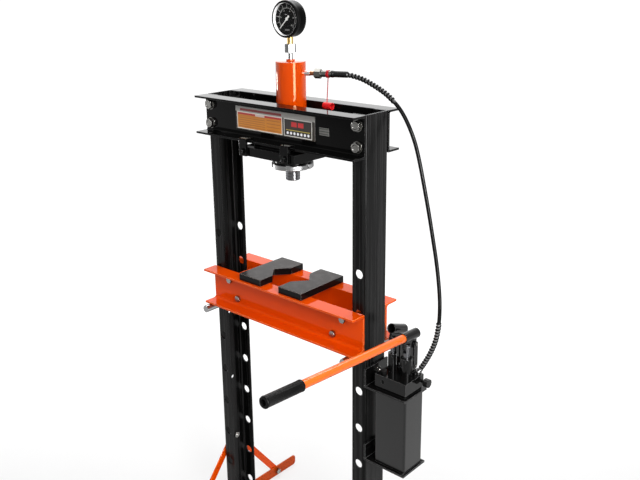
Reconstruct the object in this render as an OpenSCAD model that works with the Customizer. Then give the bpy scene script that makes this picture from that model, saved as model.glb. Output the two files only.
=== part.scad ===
// Floor-standing shop press: channel-iron frame, sliding bed, hydraulic ram and two-speed hand pump.
// The origin is on the floor under the ram's axis: +X runs along the head to the pump, +Z is up.

/* [Frame] */
// Width over the outside of both uprights
span = 648; // [560:1:760]
// Height of the uprights
post_height = 1550; // [1480:1:1700]
// Depth of an upright, front to back
post_depth = 100; // [96:1:120]
// Width of an upright's flange
post_flange = 48; // [46:1:60]
// Wall of the uprights
post_wall = 5; // [4:0.5:7]
// Distance between the rows of pin holes
hole_pitch = 125; // [115:1:140]
// Height of the lowest row of pin holes
lowest_hole = 87; // [80:1:110]
// Diameter of the pin holes
hole_d = 28; // [26:0.5:32]
// Row of pin holes that carries the bed
pin_row = 6; // [5:1:7]
// Diameter of the support pins
pin_d = 24; // [20:0.5:25.5]

/* [Head] */
// Height of the head channels
head_h = 120; // [110:1:140]
// Flange of the head channels
head_flange = 52; // [46:1:60]
// Wall of the head channels
head_wall = 6; // [5:0.5:8]

/* [Bed] */
// Height of the bed channels
bed_h = 120; // [110:1:130]
// Flange of the bed channels
bed_flange = 53; // [46:1:60]
// Wall of the bed channels
bed_wall = 6; // [5:0.5:8]
// Length of a V-block, front to back
v_block_l = 200; // [170:1:205]
// Width of a V-block
v_block_w = 95; // [85:1:110]
// Thickness of a V-block
v_block_t = 22; // [18:0.5:30]

/* [Feet] */
// Length of a foot, front to back
foot_l = 636; // [560:1:720]
// Leg of the foot's angle iron
foot_leg = 40; // [36:1:50]
// Wall of the foot's angle iron
foot_wall = 4; // [3:0.5:6]
// Width of a brace
brace_w = 25; // [20:0.5:30]
// Height of the bolt that holds both braces to an upright
brace_top_z = 290; // [250:1:330]

/* [Ram] */
// Outer diameter of the cylinder
cylinder_d = 90; // [86:0.5:94]
// Bore of the cylinder
bore_d = 70; // [64:0.5:72]
// Diameter of the ram
ram_d = 44; // [38:0.5:48]
// Longest travel of the ram
ram_travel = 150; // [100:1:155]
// Outer diameter of the lock ring
lock_ring_d = 128; // [116:1:140]

/* [Gauge] */
// Outer diameter of the gauge's bezel
gauge_d = 107; // [90:1:130]
// Depth of the gauge's case
gauge_depth = 36; // [30:1:45]

/* [Pump] */
// Length of the oil tank, along the head
tank_l = 110; // [104:1:130]
// Depth of the oil tank, front to back
tank_w = 90; // [88:1:110]
// Height of the oil tank
tank_h = 240; // [200:1:240]
// Height of the pump block
block_h = 38; // [34:1:44]
// Diameter of the small plunger
small_plunger_d = 12; // [10:0.5:14]
// Diameter of the large plunger
large_plunger_d = 20; // [17:0.5:21]
// Length of the pump handle
handle_l = 615; // [400:5:700]
// Diameter of the handle tube
handle_d = 24; // [20:0.5:24.5]

/* [Hidden] */
$fn = 48;

// Cuts run past the faces that they open by this much
overrun = 1;
// Radial room of a pin or a shaft that turns or slides
running = 0.05;
// Radial room of a bolt in its nut, and of a piece pushed into its seat
snug = 0.15;
// Radial room of a bolt in a drilled plate
drilled = 0.5;
// Small gap under a round piece that lies in a seat
seat_gap = 0.1;
frame_black = [0.06, 0.06, 0.065];
press_orange = [0.88, 0.24, 0.05];
zinc = [0.72, 0.72, 0.70];
chrome = [0.80, 0.80, 0.82];
pump_grey = [0.16, 0.16, 0.165];
rubber_black = [0.04, 0.04, 0.04];

// Uprights
post_x = span / 2;
post_corner = 8;
post_root = 4;
hole_x = post_x - post_flange / 2;
hole_count = 9;
web_in_x = post_x - post_wall;
bracket_hole_zs = [525, 779];
bracket_wall = 6;

// Bolts and nuts of the frame
hex_share = 2 / sqrt(3);
bolt_d = 12;
bolt_af = 19;
bolt_head = 8;
nut_h = 10;
bolt_tail = 3;
head_bolt_d = 18;
head_bolt_af = 27;
head_bolt_head = 11;
head_nut_h = 14;
washer_d = 34;
washer_t = 3;
head_bolt_drop = 30;
head_bolt_pitch = 60;

// Head
head_corner = 2.5;
head_root = 4;
head_bottom = post_height - head_h;
head_bolt_zs = [post_height - head_bolt_drop, post_height - head_bolt_drop - head_bolt_pitch];
head_bolt_grip = head_wall + post_wall;

// Cross channel at the floor, nested in both uprights
cross_h = 40;
cross_wall = 5;
cross_w = post_depth - 2 * post_wall;
cross_l = span - 2 * (post_wall + post_root);
cross_bolt_inset = 32;
cross_bolt_x = post_x - cross_bolt_inset;
cross_bolt_z = 22;

// Feet and braces
foot_corner = 12;
foot_setback = 16;
foot_bolt_y = 28;
foot_bolt_z = foot_leg / 2;
anchor_d = 12;
anchor_inset = 38;
anchor_y = foot_l / 2 - anchor_inset;
brace_t = 4;
brace_foot_y = 214;
brace_end = 16;

// Bolts along X, each as side, y, z, distance of its head's seat and of its nut's seat from the middle
FRAME_BOLTS = [
    for (side = [-1, 1]) each [
        for (y = [-foot_bolt_y, foot_bolt_y]) [side, y, foot_bolt_z, post_x + foot_wall, web_in_x],
        for (y = [-brace_foot_y, brace_foot_y]) [side, y, foot_bolt_z, post_x + foot_wall + brace_t, post_x],
        [side, 0, brace_top_z, post_x + 2 * brace_t + seat_gap, web_in_x]
    ],
    for (z = bracket_hole_zs) [1, 0, z, post_x + bracket_wall, web_in_x]
];

// Support pins and bed
pin_over = 20;
pin_z = lowest_hole + pin_row * hole_pitch - (hole_d - pin_d) / 2 + seat_gap;
pin_lift = 0.2;
bed_side_gap = 1;
bed_corner = 2.5;
bed_root = 9;
bed_web_y = post_depth / 2 + bed_side_gap;
bed_bottom = pin_z + pin_d / 2 + pin_lift;
bed_top = bed_bottom + bed_h;
bed_end_inset = 1.5;
bed_l = span - 2 * bed_end_inset;
pin_l = 2 * (bed_web_y + bed_flange + pin_over);
spacer_d = 24;
bed_bolt_edges = [34, 29];
bed_bolt_insets = [78, 116];
BED_BOLTS = [
    for (side = [-1, 1]) each [
        [side * (post_x - bed_bolt_insets[0]), bed_top - bed_bolt_edges[0]],
        [side * (post_x - bed_bolt_insets[1]), bed_bottom + bed_bolt_edges[1]]
    ]
];
v_half = 45;
v_depth = 38;
v_shift_y = 6;
v_left_x = -111;
v_right_x = 64;
v_chamfer = 1.5;

// Ram carriage, hung on the lower flanges of the head
bearing_l = 150;
bearing_w = 176;
bearing_t = 12;
plate_l = 222;
plate_w = 220;
plate_t = 27;
plate_top = head_bottom - bearing_t;
plate_bottom = plate_top - plate_t;
boss_d = 112;
boss_h = 25;
claw_x = 86;
claw_mid = -9;
claw_w = 30;
claw_wall = 8;
claw_reach = 30;
claw_bend = 3;
claw_bolt_d = 10;
claw_bolt_af = 17;
claw_bolt_head = 7;
claw_bolt_l = 22;

// Cylinder and ram
neck_wall = 7;
neck_d = bore_d + 2 * neck_wall;
ring_h = 16;
ring_chamfer = 2;
ring_slots = 6;
ring_slot_w = 12;
ring_slot_depth = 5;
neck_bottom = plate_bottom - boss_h - ring_h;
cylinder_rise = 119;
cylinder_top = post_height + cylinder_rise;
cylinder_lid = 14;
top_boss_d = 26;
top_boss_h = 6;
gland_h = 28;
piston_h = 30;
piston_drop = 25;
piston_top = cylinder_top - cylinder_lid - piston_drop;
nose_l = 40;
ram_bottom = neck_bottom - nose_l;
ram_chamfer = 2;
groove_w = 3;
groove_depth = 1;
groove_pitch = 9;
first_groove_share = 0.6;
seal_h = 8;
seal_t = 5;
spring_wire = 5;
spring_turns = 9;
spring_sides = 6;
spring_steps = 14;
spring_room = 0.4;

// Gauge
nipple_d = 13.6;
nipple_sunk = 10;
nipple_h = 19.5;
coupling_af = 29;
coupling_h = 24;
coupling_sunk = 8;
stem_d = 18;
stem_thread_share = 0.8;
stem_h = 20;
stem_sunk = 8;
nipple_top = cylinder_top + top_boss_h + nipple_h;
coupling_top = nipple_top + coupling_h;
bezel_over = 1.5;
case_r = gauge_d / 2 - bezel_over;
gauge_z = coupling_top + stem_h + case_r;
case_round = 6;
bezel_w = 6;
bezel_h = 11;
bezel_front = 4;
dial_t = 1;
dial_deep = 7;
lens_t = 2;
needle_t = 1;
needle_room = 1.5;
needle_hub_d = 9;
needle_tip_share = 0.84;
needle_tail_share = 0.32;
needle_root_w = 3.2;
needle_tip_w = 1;
spindle_d = 3;
spindle_l = 8;
needle_zero = 225;

// Hose port and its coupler, along one radius of the cylinder
port_angle = 20;
port_drop = 33.5;
port_z = cylinder_top - port_drop;
port_hole_d = 10;
port_sunk = 6;
port_nipple_d = 15;
port_nipple_end = 62;
port_sleeve_d = 12.5;
port_sleeve_end = 77;
coupler_af = 25;
coupler_hex_end = 96;
coupler_body_d = 19;
coupler_end = 128;
strap_d = 23;
strap_w = 8;
strap_r = 118;
ferrule_d = 20;
ferrule_end = 181;
ferrule_lip = 3;
cord_d = 3;
cap_d = 21;
cap_l = 30;
cap_wall = 2.5;
cap_drop = 92;
cap_lean = 6;

// Hose: its sizes, and the points of its route where the upper guard ends and the lower one begins
hose_d = 11.5;
guard_d = 16.5;
upper_guard_end = 4;
lower_guard_start = 15;
hose_sides = 10;
hose_steps = 2;

// Pump
pump_gap = 34;
pump_x = post_x + pump_gap + tank_l / 2;
bracket_over = 5;
bracket_leg_w = 108;
upper_leg_h = 60;
lower_leg_h = 53;
shelf_z = 490;
shelf_side = 10;
shelf_w = tank_w + 2 * shelf_side;
shelf_over = 5;
shelf_hole_d = 6;
shelf_hole_edge = 7;
tank_wall = 2.5;
tank_corner = 6;
tank_bottom = shelf_z + bracket_wall;
tank_top = tank_bottom + tank_h;
cover_top = tank_top + bracket_wall;
foot_h = 10;
foot_inset = 4;
block_bottom = cover_top + foot_h;
block_top = block_bottom + block_h;
suction_d = 12;
suction_wall = 1.5;
suction_drop = 205;
suction_room = 4;
strainer_d = 24;
strainer_h = 30;
suction_x = pump_x - tank_l / 4;
suction_y = -tank_w / 4;

// Levers and plungers: one small unit on the left, one large unit on the right
unit_spacing = 50;
unit_shift = 4;
small_barrel_d = 26;
large_barrel_d = 35;
plunger_y = 4;
lever_arm = 33;
fulcrum_y = plunger_y + lever_arm;
fulcrum_h = 90;
fulcrum_z = block_top + fulcrum_h;
left_tilt = 20;
right_tilt = 4.2;
UNITS = [
    [pump_x - unit_spacing / 2 - unit_shift, small_plunger_d, small_barrel_d, left_tilt],
    [pump_x + unit_spacing / 2 - unit_shift, large_plunger_d, large_barrel_d, right_tilt]
];
barrel_h = 57;
collar_h = 12;
collar_over = 4;
pivot_d = 8;
lug_t = 10;
lug_r = 9;
link_t = 5;
link_gap = 0.5;
link_base_h = 22;
link_base_z = block_top + link_base_h;
ear_r = 8;
slot_reach = 7;
slot_play = 1.2;
fork_d = 22;
fork_over = 7;
fork_drop = 24;
fork_floor = 5.5;
plunger_end_h = 22;
socket_d = 30;
socket_bore = 25;
socket_up = 30;
socket_front = 54;
socket_back = 12;
socket_end_t = 6;
handle_seat = 1;
handle_wall = 2.5;
grip_d = 32;
grip_l = 132;
grip_wall = 3.9;
grip_hole_d = 20;
grip_hole_h = 2;

// Release valve, plugs and hose end on the pump block
knob_d = 26;
knob_h = 15;
knob_flutes = 10;
knob_flute_d = 5;
knob_stem_d = 10;
knob_stem_l = 12;
knob_sunk = 14;
knob_inset = 11;
knob_y = tank_w / 2 - knob_inset;
knob_z = block_bottom + block_h / 2;
plug_d = 12;
plug_af = 6;
plug_h = 3;
plug_sunk = 8;
filler_d = 18;
filler_h = 9;
fitting_lean = 30;
fitting_inset = 14;
fitting_x = pump_x + tank_l / 2 - fitting_inset;
fitting_y = 28;
fitting_base_d = 20;
fitting_base_h = 7;
fitting_hex_af = 19;
fitting_hex_l = 11;
fitting_neck_d = 13;
fitting_neck_l = 8;
fitting_run = fitting_base_h + fitting_hex_l + fitting_neck_l;
fitting_dir = [-sin(fitting_lean), 0, -cos(fitting_lean)];

// Route of the hose from the coupler's ferrule to the pump's ferrule
port_dir = [cos(port_angle), sin(port_angle), 0];
ROUTE = [
    [0, 0, port_z] + ferrule_end * port_dir,
    [208, 74, 1626], [247, 82, 1609], [285, 85, 1590], [317, 84, 1569], [345, 83, 1543], [371, 82, 1506],
    [394, 81, 1460], [413, 79, 1405], [432, 76, 1340], [452, 72, 1270], [472, 66, 1200], [490, 60, 1135],
    [503, 55, 1075], [511, 51, 1020], [513, 47, 965], [507, 43, 912], [495, 38, 872], [480, 32, 837],
    [fitting_x, fitting_y, block_top] - fitting_run * fitting_dir
];
HOSE_PATH = smooth(ROUTE, hose_steps);

function row_z(k) = lowest_hole + k * hole_pitch;

// Point on the curve through p0..p3, a share t of the way from p1 to p2
function curve_point(p0, p1, p2, p3, t) =
    0.5 * (2 * p1 + (p2 - p0) * t + (2 * p0 - 5 * p1 + 4 * p2 - p3) * t * t
    + (3 * p1 - 3 * p2 + p3 - p0) * t * t * t);

// Smooth path through the points of a route, with a few steps between neighbours
function smooth(pts, steps) = [
    for (i = [0 : len(pts) - 2]) for (s = [0 : steps - 1])
        curve_point(pts[max(i - 1, 0)], pts[i], pts[i + 1], pts[min(i + 2, len(pts) - 1)], s / steps),
    pts[len(pts) - 1]
];

function unit(v) = v / norm(v);

// Direction of the path at one of its points
function heading(pts, i) = unit(pts[min(i + 1, len(pts) - 1)] - pts[max(i - 1, 0)]);

// Ring of points around one point of the path
function ring_at(p, along, side_hint, r, sides) =
    let (a = unit(cross(along, side_hint)), b = cross(along, a))
    [for (k = [0 : sides - 1]) p + r * (cos(360 * k / sides) * a + sin(360 * k / sides) * b)];

// Round tube of one piece along a path, from one of its points to another; ends may have set directions
module swept(pts, first, last, d, sides, side_hint, ends = [undef, undef]) {
    n = last - first + 1;
    dirs = [
        for (i = [first : last])
            i == first && ends[0] != undef ? ends[0]
            : i == last && ends[1] != undef ? ends[1] : heading(pts, i)
    ];
    rings = [for (i = [0 : n - 1]) each ring_at(pts[first + i], dirs[i], side_hint, d / 2, sides)];
    walls = [
        for (i = [0 : n - 2]) for (k = [0 : sides - 1]) each [
            [i * sides + k, (i + 1) * sides + k, i * sides + (k + 1) % sides],
            [i * sides + (k + 1) % sides, (i + 1) * sides + k, (i + 1) * sides + (k + 1) % sides]
        ]
    ];
    low_cap = [for (k = [0 : sides - 1]) k];
    high_cap = [for (k = [sides - 1 : -1 : 0]) (n - 1) * sides + k];
    polyhedron(rings, concat(walls, [low_cap, high_cap]));
}

// Rectangle about the origin with round corners
module round_rect(l, w, r) {
    square([l - 2 * r, w], center = true);
    square([l, w - 2 * r], center = true);
    for (x = [-1, 1], y = [-1, 1]) translate([x * (l / 2 - r), y * (w / 2 - r)]) circle(r);
}

// Section of a channel: the web's outer face on the Y axis and the flanges along +X
module channel_section(h, b, t, corner, root) {
    difference() {
        union() {
            translate([corner, -h / 2]) square([b - corner, h]);
            translate([0, corner - h / 2]) square([corner, h - 2 * corner]);
            for (s = [-1, 1]) translate([corner, s * (h / 2 - corner)]) circle(corner);
        }
        translate([t + root, t - h / 2]) square([b, h - 2 * t]);
        translate([t, t + root - h / 2]) square([root, h - 2 * (t + root)]);
        for (s = [-1, 1]) translate([t + root, s * (h / 2 - t - root)]) circle(root);
    }
}

// Bar with round ends and a pivot hole at each end, centres on the X axis
module eye_bar(l, r, hole) {
    difference() {
        union() {
            translate([0, -r]) square([l, 2 * r]);
            for (x = [0, l]) translate([x, 0]) circle(r);
        }
        for (x = [0, l]) translate([x, 0]) circle(d = hole);
    }
}

module hexagon(af, h) {
    cylinder(h = h, d = af * hex_share, $fn = 6);
}

// Hex bolt with its head's seat at z = 0 and its shank along +Z
module hex_bolt(d, af, head, shank) {
    translate([0, 0, -head]) hexagon(af, head);
    cylinder(h = shank, d = d);
}

module hex_nut(d, af, h) {
    difference() {
        hexagon(af, h);
        translate([0, 0, -overrun]) cylinder(h = h + 2 * overrun, d = d + 2 * snug);
    }
}

module tube(d, bore, h) {
    difference() {
        cylinder(h = h, d = d);
        translate([0, 0, -overrun]) cylinder(h = h + 2 * overrun, d = bore);
    }
}

// Places its child at a frame bolt's seat, +Z inwards
module at_frame_bolt(b) {
    translate([b[0] * b[3], b[1], b[2]]) rotate([0, -b[0] * 90, 0]) children();
}

// Places its child at each bolt of the cross channel, +Z inwards
module at_cross_bolts() {
    for (x = [-1, 1], y = [-1, 1])
        translate([x * cross_bolt_x, y * post_depth / 2, cross_bolt_z]) rotate([y * 90, 0, 0]) children();
}

// Places its child on the outer face of the head's webs at each bolt, +Z inwards
module at_head_bolts() {
    for (x = [-1, 1], y = [-1, 1], z = head_bolt_zs)
        translate([x * hole_x, y * (post_depth / 2 + head_wall), z]) rotate([y * 90, 0, 0]) children();
}

module upright(side) {
    color(frame_black) difference() {
        translate([side * post_x, 0, 0]) rotate(side > 0 ? 180 : 0) linear_extrude(post_height)
            channel_section(post_depth, post_flange, post_wall, post_corner, post_root);
        for (k = [0 : hole_count - 1]) translate([side * hole_x, 0, row_z(k)]) rotate([90, 0, 0])
            cylinder(h = post_depth + 2 * overrun, d = hole_d, center = true);
        for (z = head_bolt_zs) translate([side * hole_x, 0, z]) rotate([90, 0, 0])
            cylinder(h = post_depth + 2 * overrun, d = head_bolt_d + 2 * drilled, center = true);
        translate([side * cross_bolt_x, 0, cross_bolt_z]) rotate([90, 0, 0])
            cylinder(h = post_depth + 2 * overrun, d = bolt_d + 2 * drilled, center = true);
        for (y = [-foot_bolt_y, foot_bolt_y]) web_hole(side, y, foot_bolt_z);
        for (z = concat(bracket_hole_zs, brace_top_z)) web_hole(side, 0, z);
    }
}

module web_hole(side, y, z) {
    translate([side * (post_x - post_wall / 2), y, z]) rotate([0, 90, 0])
        cylinder(h = post_wall + 2 * overrun, d = bolt_d + 2 * drilled, center = true);
}

module left_upright() {
    upright(-1);
}

module right_upright() {
    upright(1);
}

module head_channel(back) {
    color(frame_black) difference() {
        translate([-back * span / 2, back * post_depth / 2, post_height - head_h / 2])
            rotate([90, 0, back * 90])
            linear_extrude(span) channel_section(head_h, head_flange, head_wall, head_corner, head_root);
        for (x = [-1, 1], z = head_bolt_zs)
            translate([x * hole_x, back * (post_depth + head_wall) / 2, z]) rotate([90, 0, 0])
                cylinder(h = head_wall + 2 * overrun, d = head_bolt_d + 2 * drilled, center = true);
    }
}

module head_front_channel() {
    head_channel(-1);
}

module head_rear_channel() {
    head_channel(1);
}

module head_bolts() {
    shank = washer_t + head_bolt_grip + head_nut_h + bolt_tail;
    color(zinc) at_head_bolts() translate([0, 0, -washer_t])
        hex_bolt(head_bolt_d, head_bolt_af, head_bolt_head, shank);
}

// Washers under the heads and nuts inside the uprights
module head_nuts() {
    color(zinc) at_head_bolts() {
        translate([0, 0, -washer_t]) tube(washer_d, head_bolt_d + 2 * snug, washer_t);
        translate([0, 0, head_bolt_grip]) hex_nut(head_bolt_d, head_bolt_af, head_nut_h);
    }
}

module lower_cross_channel() {
    color(frame_black) difference() {
        translate([-cross_l / 2, 0, 0]) rotate([0, -90, 0]) mirror([0, 0, 1]) linear_extrude(cross_l)
            channel_section(cross_w, cross_h, cross_wall, head_corner, post_root);
        for (x = [-1, 1]) translate([x * cross_bolt_x, 0, cross_bolt_z]) rotate([90, 0, 0])
            cylinder(h = post_depth, d = bolt_d + 2 * drilled, center = true);
    }
}

module frame_bolts() {
    color(zinc) {
        for (b = FRAME_BOLTS) at_frame_bolt(b)
            hex_bolt(bolt_d, bolt_af, bolt_head, b[3] - b[4] + nut_h + bolt_tail);
        at_cross_bolts() hex_bolt(bolt_d, bolt_af, bolt_head, post_wall + cross_wall + nut_h + bolt_tail);
    }
}

module frame_nuts() {
    color(zinc) {
        for (b = FRAME_BOLTS) at_frame_bolt(b) translate([0, 0, b[3] - b[4]]) hex_nut(bolt_d, bolt_af, nut_h);
        at_cross_bolts() translate([0, 0, post_wall + cross_wall]) hex_nut(bolt_d, bolt_af, nut_h);
    }
}

// Angle iron: the upright leg on the web's outer face, the flat leg outwards on the floor
module foot(side) {
    color(press_orange) difference() {
        union() {
            translate([side > 0 ? post_x : -post_x - foot_wall, 0, foot_leg / 2]) rotate([90, 0, 90])
                linear_extrude(foot_wall) round_rect(foot_l, foot_leg, foot_corner);
            translate([side * (post_x + foot_leg / 2), 0, foot_wall / 2])
                cube([foot_leg, foot_l - 2 * foot_setback, foot_wall], center = true);
        }
        for (y = [-brace_foot_y, -foot_bolt_y, foot_bolt_y, brace_foot_y])
            translate([side * (post_x + foot_wall / 2), y, foot_bolt_z]) rotate([0, 90, 0])
                cylinder(h = foot_wall + 2 * overrun, d = bolt_d + 2 * drilled, center = true);
        for (y = [-anchor_y, anchor_y])
            translate([side * (post_x + foot_leg / 2 + foot_wall / 2), y, -overrun])
            cylinder(h = foot_wall + 2 * overrun, d = anchor_d);
    }
}

module left_foot() {
    foot(-1);
}

module right_foot() {
    foot(1);
}

// Flat bar from the foot up to the web's bolt, cranked at the top to lie on the web or on the other brace
module brace(side, back) {
    rise = brace_top_z - foot_bolt_z;
    l = norm([brace_foot_y, rise]);
    climb = atan2(rise, brace_foot_y);
    top_lift = back > 0 ? 0 : brace_t + seat_gap;
    bend = [brace_end * 2, brace_end * 5];
    low = [[-brace_end, foot_wall], [l - bend[1], foot_wall], [l - bend[0], top_lift],
        [l + brace_end, top_lift]];
    high = [for (i = [len(low) - 1 : -1 : 0]) low[i] + [0, brace_t]];
    color(press_orange) translate([side * post_x, back * brace_foot_y, foot_bolt_z])
        mirror([side > 0 ? 0 : 1, 0, 0])
        mirror([0, back > 0 ? 1 : 0, 0]) rotate([climb, 0, 0]) rotate([90, 0, 90]) intersection() {
            linear_extrude(2 * (foot_wall + brace_t), center = true)
                eye_bar(l, brace_w / 2, bolt_d + 2 * drilled);
            rotate([90, 0, 0]) linear_extrude(brace_w + 2 * overrun, center = true)
                polygon(concat(low, high));
        }
}

module left_braces() {
    brace(-1, -1);
    brace(-1, 1);
}

module right_braces() {
    brace(1, -1);
    brace(1, 1);
}

// Thick plate with a bearing pad under the head's flanges and a threaded boss below
module carriage_plate() {
    color(frame_black) difference() {
        union() {
            translate([0, 0, plate_bottom]) linear_extrude(plate_t) square([plate_l, plate_w], center = true);
            translate([0, 0, plate_top]) linear_extrude(bearing_t)
                square([bearing_l, bearing_w], center = true);
            translate([0, 0, plate_bottom - boss_h]) cylinder(h = boss_h, d = boss_d);
        }
        translate([0, 0, plate_bottom - boss_h - overrun])
            cylinder(h = boss_h + plate_t + 2 * overrun, d = neck_d + 2 * snug);
        translate([0, 0, plate_top]) cylinder(h = bearing_t + overrun, d = cylinder_d + 2 * drilled);
        for (x = [-1, 1], y = [-1, 1])
            translate([claw_mid + x * claw_x, y * plate_w / 2, plate_bottom + plate_t / 2])
            rotate([y * 90, 0, 0]) translate([0, 0, -overrun])
                cylinder(h = claw_bolt_l + overrun, d = claw_bolt_d + 2 * snug);
    }
}

// Hooks bolted to the plate's front and back, bent over the lower flanges of the head
module carriage_claws() {
    flange_top = head_bottom + head_wall;
    h = flange_top + claw_wall - plate_bottom;
    for (x = [-1, 1], y = [-1, 1]) color(frame_black) difference() {
        translate([claw_mid + x * claw_x - claw_w / 2, y * plate_w / 2, plate_bottom])
            mirror([0, y > 0 ? 0 : 1, 0])
            rotate([90, 0, 90]) linear_extrude(claw_w) difference() {
                translate([claw_wall - claw_reach, 0]) square([claw_reach, h]);
                translate([-claw_reach, -overrun]) square([claw_reach, h - claw_wall + overrun]);
                translate([claw_wall - claw_bend, h - claw_bend]) difference() {
                    square(claw_bend + overrun);
                    circle(claw_bend);
                }
            }
        translate([claw_mid + x * claw_x, y * (plate_w / 2 + claw_wall / 2), plate_bottom + plate_t / 2])
            rotate([90, 0, 0])
            cylinder(h = claw_wall + 2 * overrun, d = claw_bolt_d + 2 * snug, center = true);
    }
}

module claw_bolts() {
    for (x = [-1, 1], y = [-1, 1]) color(frame_black)
        translate([claw_mid + x * claw_x, y * (plate_w / 2 + claw_wall), plate_bottom + plate_t / 2])
            rotate([y * 90, 0, 0])
            hex_bolt(claw_bolt_d, claw_bolt_af, claw_bolt_head, claw_wall + claw_bolt_l - overrun);
}

// Closed tube with a narrower neck that passes through the carriage plate
module cylinder_body() {
    color(press_orange) difference() {
        union() {
            translate([0, 0, neck_bottom]) cylinder(h = plate_top - neck_bottom, d = neck_d);
            translate([0, 0, plate_top]) cylinder(h = cylinder_top - plate_top, d = cylinder_d);
            translate([0, 0, cylinder_top]) cylinder(h = top_boss_h, d = top_boss_d);
        }
        translate([0, 0, neck_bottom - overrun])
            cylinder(h = cylinder_top - cylinder_lid - neck_bottom + overrun, d = bore_d);
        translate([0, 0, cylinder_top + top_boss_h - nipple_sunk])
            cylinder(h = nipple_sunk + overrun, d = nipple_d + 2 * snug);
        translate([0, 0, cylinder_top - cylinder_lid - overrun]) cylinder(h = cylinder_lid, d = nipple_d / 2);
        at_port(bore_d / 2 - overrun) cylinder(h = cylinder_d, d = port_hole_d);
        at_port(cylinder_d / 2 - port_sunk) cylinder(h = cylinder_d, d = port_nipple_d + 2 * snug);
    }
}

// Places its child on the hose port's axis at radius r, +Z outwards
module at_port(r) {
    translate([0, 0, port_z]) rotate(port_angle) translate([r, 0, 0]) rotate([0, 90, 0]) children();
}

// Ring nut with spanner slots, screwed on the neck under the boss
module lock_ring() {
    r = lock_ring_d / 2;
    color(chrome) translate([0, 0, neck_bottom]) difference() {
        rotate_extrude() polygon([
            [neck_d / 2 + snug, 0], [r - ring_chamfer, 0], [r, ring_chamfer], [r, ring_h - ring_chamfer],
            [r - ring_chamfer, ring_h], [neck_d / 2 + snug, ring_h]
        ]);
        for (a = [0 : 360 / ring_slots : 359]) rotate(a)
            translate([r - ring_slot_depth, -ring_slot_w / 2, -overrun])
            cube([ring_slot_depth + overrun, ring_slot_w, ring_h + 2 * overrun]);
    }
}

module gland_bush() {
    color("darkgoldenrod") translate([0, 0, neck_bottom])
        tube(bore_d - 2 * snug, ram_d + 2 * running, gland_h);
}

// Piston and rod turned as one, with a seal groove and rings cut near the nose
module ram() {
    r = ram_d / 2;
    grooves = [for (i = [0 : 2]) ram_bottom + groove_pitch * (i + first_groove_share)];
    color(chrome) difference() {
        rotate_extrude() polygon([
            [0, ram_bottom], [r - ram_chamfer, ram_bottom], [r, ram_bottom + ram_chamfer],
            for (z = grooves) each [[r, z], [r - groove_depth, z], [r - groove_depth, z + groove_w],
                [r, z + groove_w]],
            [r, piston_top - piston_h], [bore_d / 2 - running, piston_top - piston_h],
            [bore_d / 2 - running, piston_top], [0, piston_top]
        ]);
        translate([0, 0, piston_top - piston_h / 2 - seal_h / 2])
            tube(bore_d + overrun, bore_d - 2 * seal_t, seal_h);
    }
}

module piston_seal() {
    color(rubber_black) translate([0, 0, piston_top - piston_h / 2 - seal_h / 2 + seat_gap])
        tube(bore_d - 2 * running, bore_d - 2 * seal_t + 2 * snug, seal_h - 2 * seat_gap);
}

// Coil that lifts the ram: wire centres rise along a helix between the gland and the piston
module return_spring() {
    low = neck_bottom + gland_h + spring_wire / 2 + spring_room;
    high = piston_top - piston_h - spring_wire / 2 - spring_room;
    r = (ram_d + bore_d) / 4;
    n = spring_turns * spring_steps;
    coil = [for (i = [0 : n]) [
        r * cos(360 * i / spring_steps), r * sin(360 * i / spring_steps), low + (high - low) * i / n
    ]];
    color(zinc) swept(coil, 0, n, spring_wire, spring_sides, [0, 0, 1]);
}

module gauge_nipple() {
    color(chrome) translate([0, 0, cylinder_top + top_boss_h - nipple_sunk])
        cylinder(h = nipple_sunk + nipple_h + coupling_sunk, d = nipple_d);
}

module gauge_coupling() {
    color(zinc) translate([0, 0, nipple_top]) difference() {
        hexagon(coupling_af, coupling_h);
        translate([0, 0, -overrun]) cylinder(h = coupling_sunk + overrun, d = nipple_d + 2 * snug);
        translate([0, 0, coupling_h - stem_sunk])
            cylinder(h = stem_sunk + overrun, d = stem_d * stem_thread_share + 2 * snug);
    }
}

module gauge_stem() {
    color("goldenrod") {
        translate([0, 0, coupling_top - stem_sunk]) cylinder(h = stem_sunk, d = stem_d * stem_thread_share);
        translate([0, 0, coupling_top]) cylinder(h = stem_h + 2 * stem_sunk, d = stem_d);
    }
}

// Places its child on the gauge's axis at depth y, +Z towards the viewer of the dial
module at_gauge(y) {
    translate([0, y, gauge_z]) rotate([90, 0, 0]) children();
}

module gauge_case() {
    h = gauge_depth - dial_deep;
    color(rubber_black) difference() {
        at_gauge(gauge_depth / 2) rotate_extrude() difference() {
            square([case_r, h]);
            translate([case_r - case_round, 0]) difference() {
                square([case_round + overrun, case_round]);
                translate([0, case_round]) circle(case_round);
            }
            translate([0, h - dial_t]) square([case_r - bezel_w + snug, dial_t + overrun]);
            translate([0, h - dial_t - spindle_l]) square([spindle_d / 2 + running, spindle_l + overrun]);
        }
        translate([0, 0, coupling_top - overrun])
            cylinder(h = stem_h + 2 * stem_sunk + overrun + seat_gap, d = stem_d + 2 * snug);
    }
}

module gauge_bezel() {
    r = gauge_d / 2;
    color(rubber_black) at_gauge(-gauge_depth / 2 + dial_deep) rotate_extrude() difference() {
        translate([case_r - bezel_w, 0]) square([bezel_w + r - case_r, bezel_h]);
        translate([r - bezel_front, bezel_h - bezel_front]) difference() {
            square(bezel_front + overrun);
            circle(bezel_front);
        }
    }
}

module gauge_dial() {
    color([0.05, 0.05, 0.05]) at_gauge(-gauge_depth / 2 + dial_deep + dial_t)
        tube(2 * (case_r - bezel_w), spindle_d + 4 * running, dial_t);
}

module gauge_lens() {
    color([0.9, 0.95, 1, 0.3]) at_gauge(-gauge_depth / 2 + dial_deep - bezel_h + bezel_front + lens_t)
        cylinder(h = lens_t, d = 2 * (case_r - bezel_w - snug));
}

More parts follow.
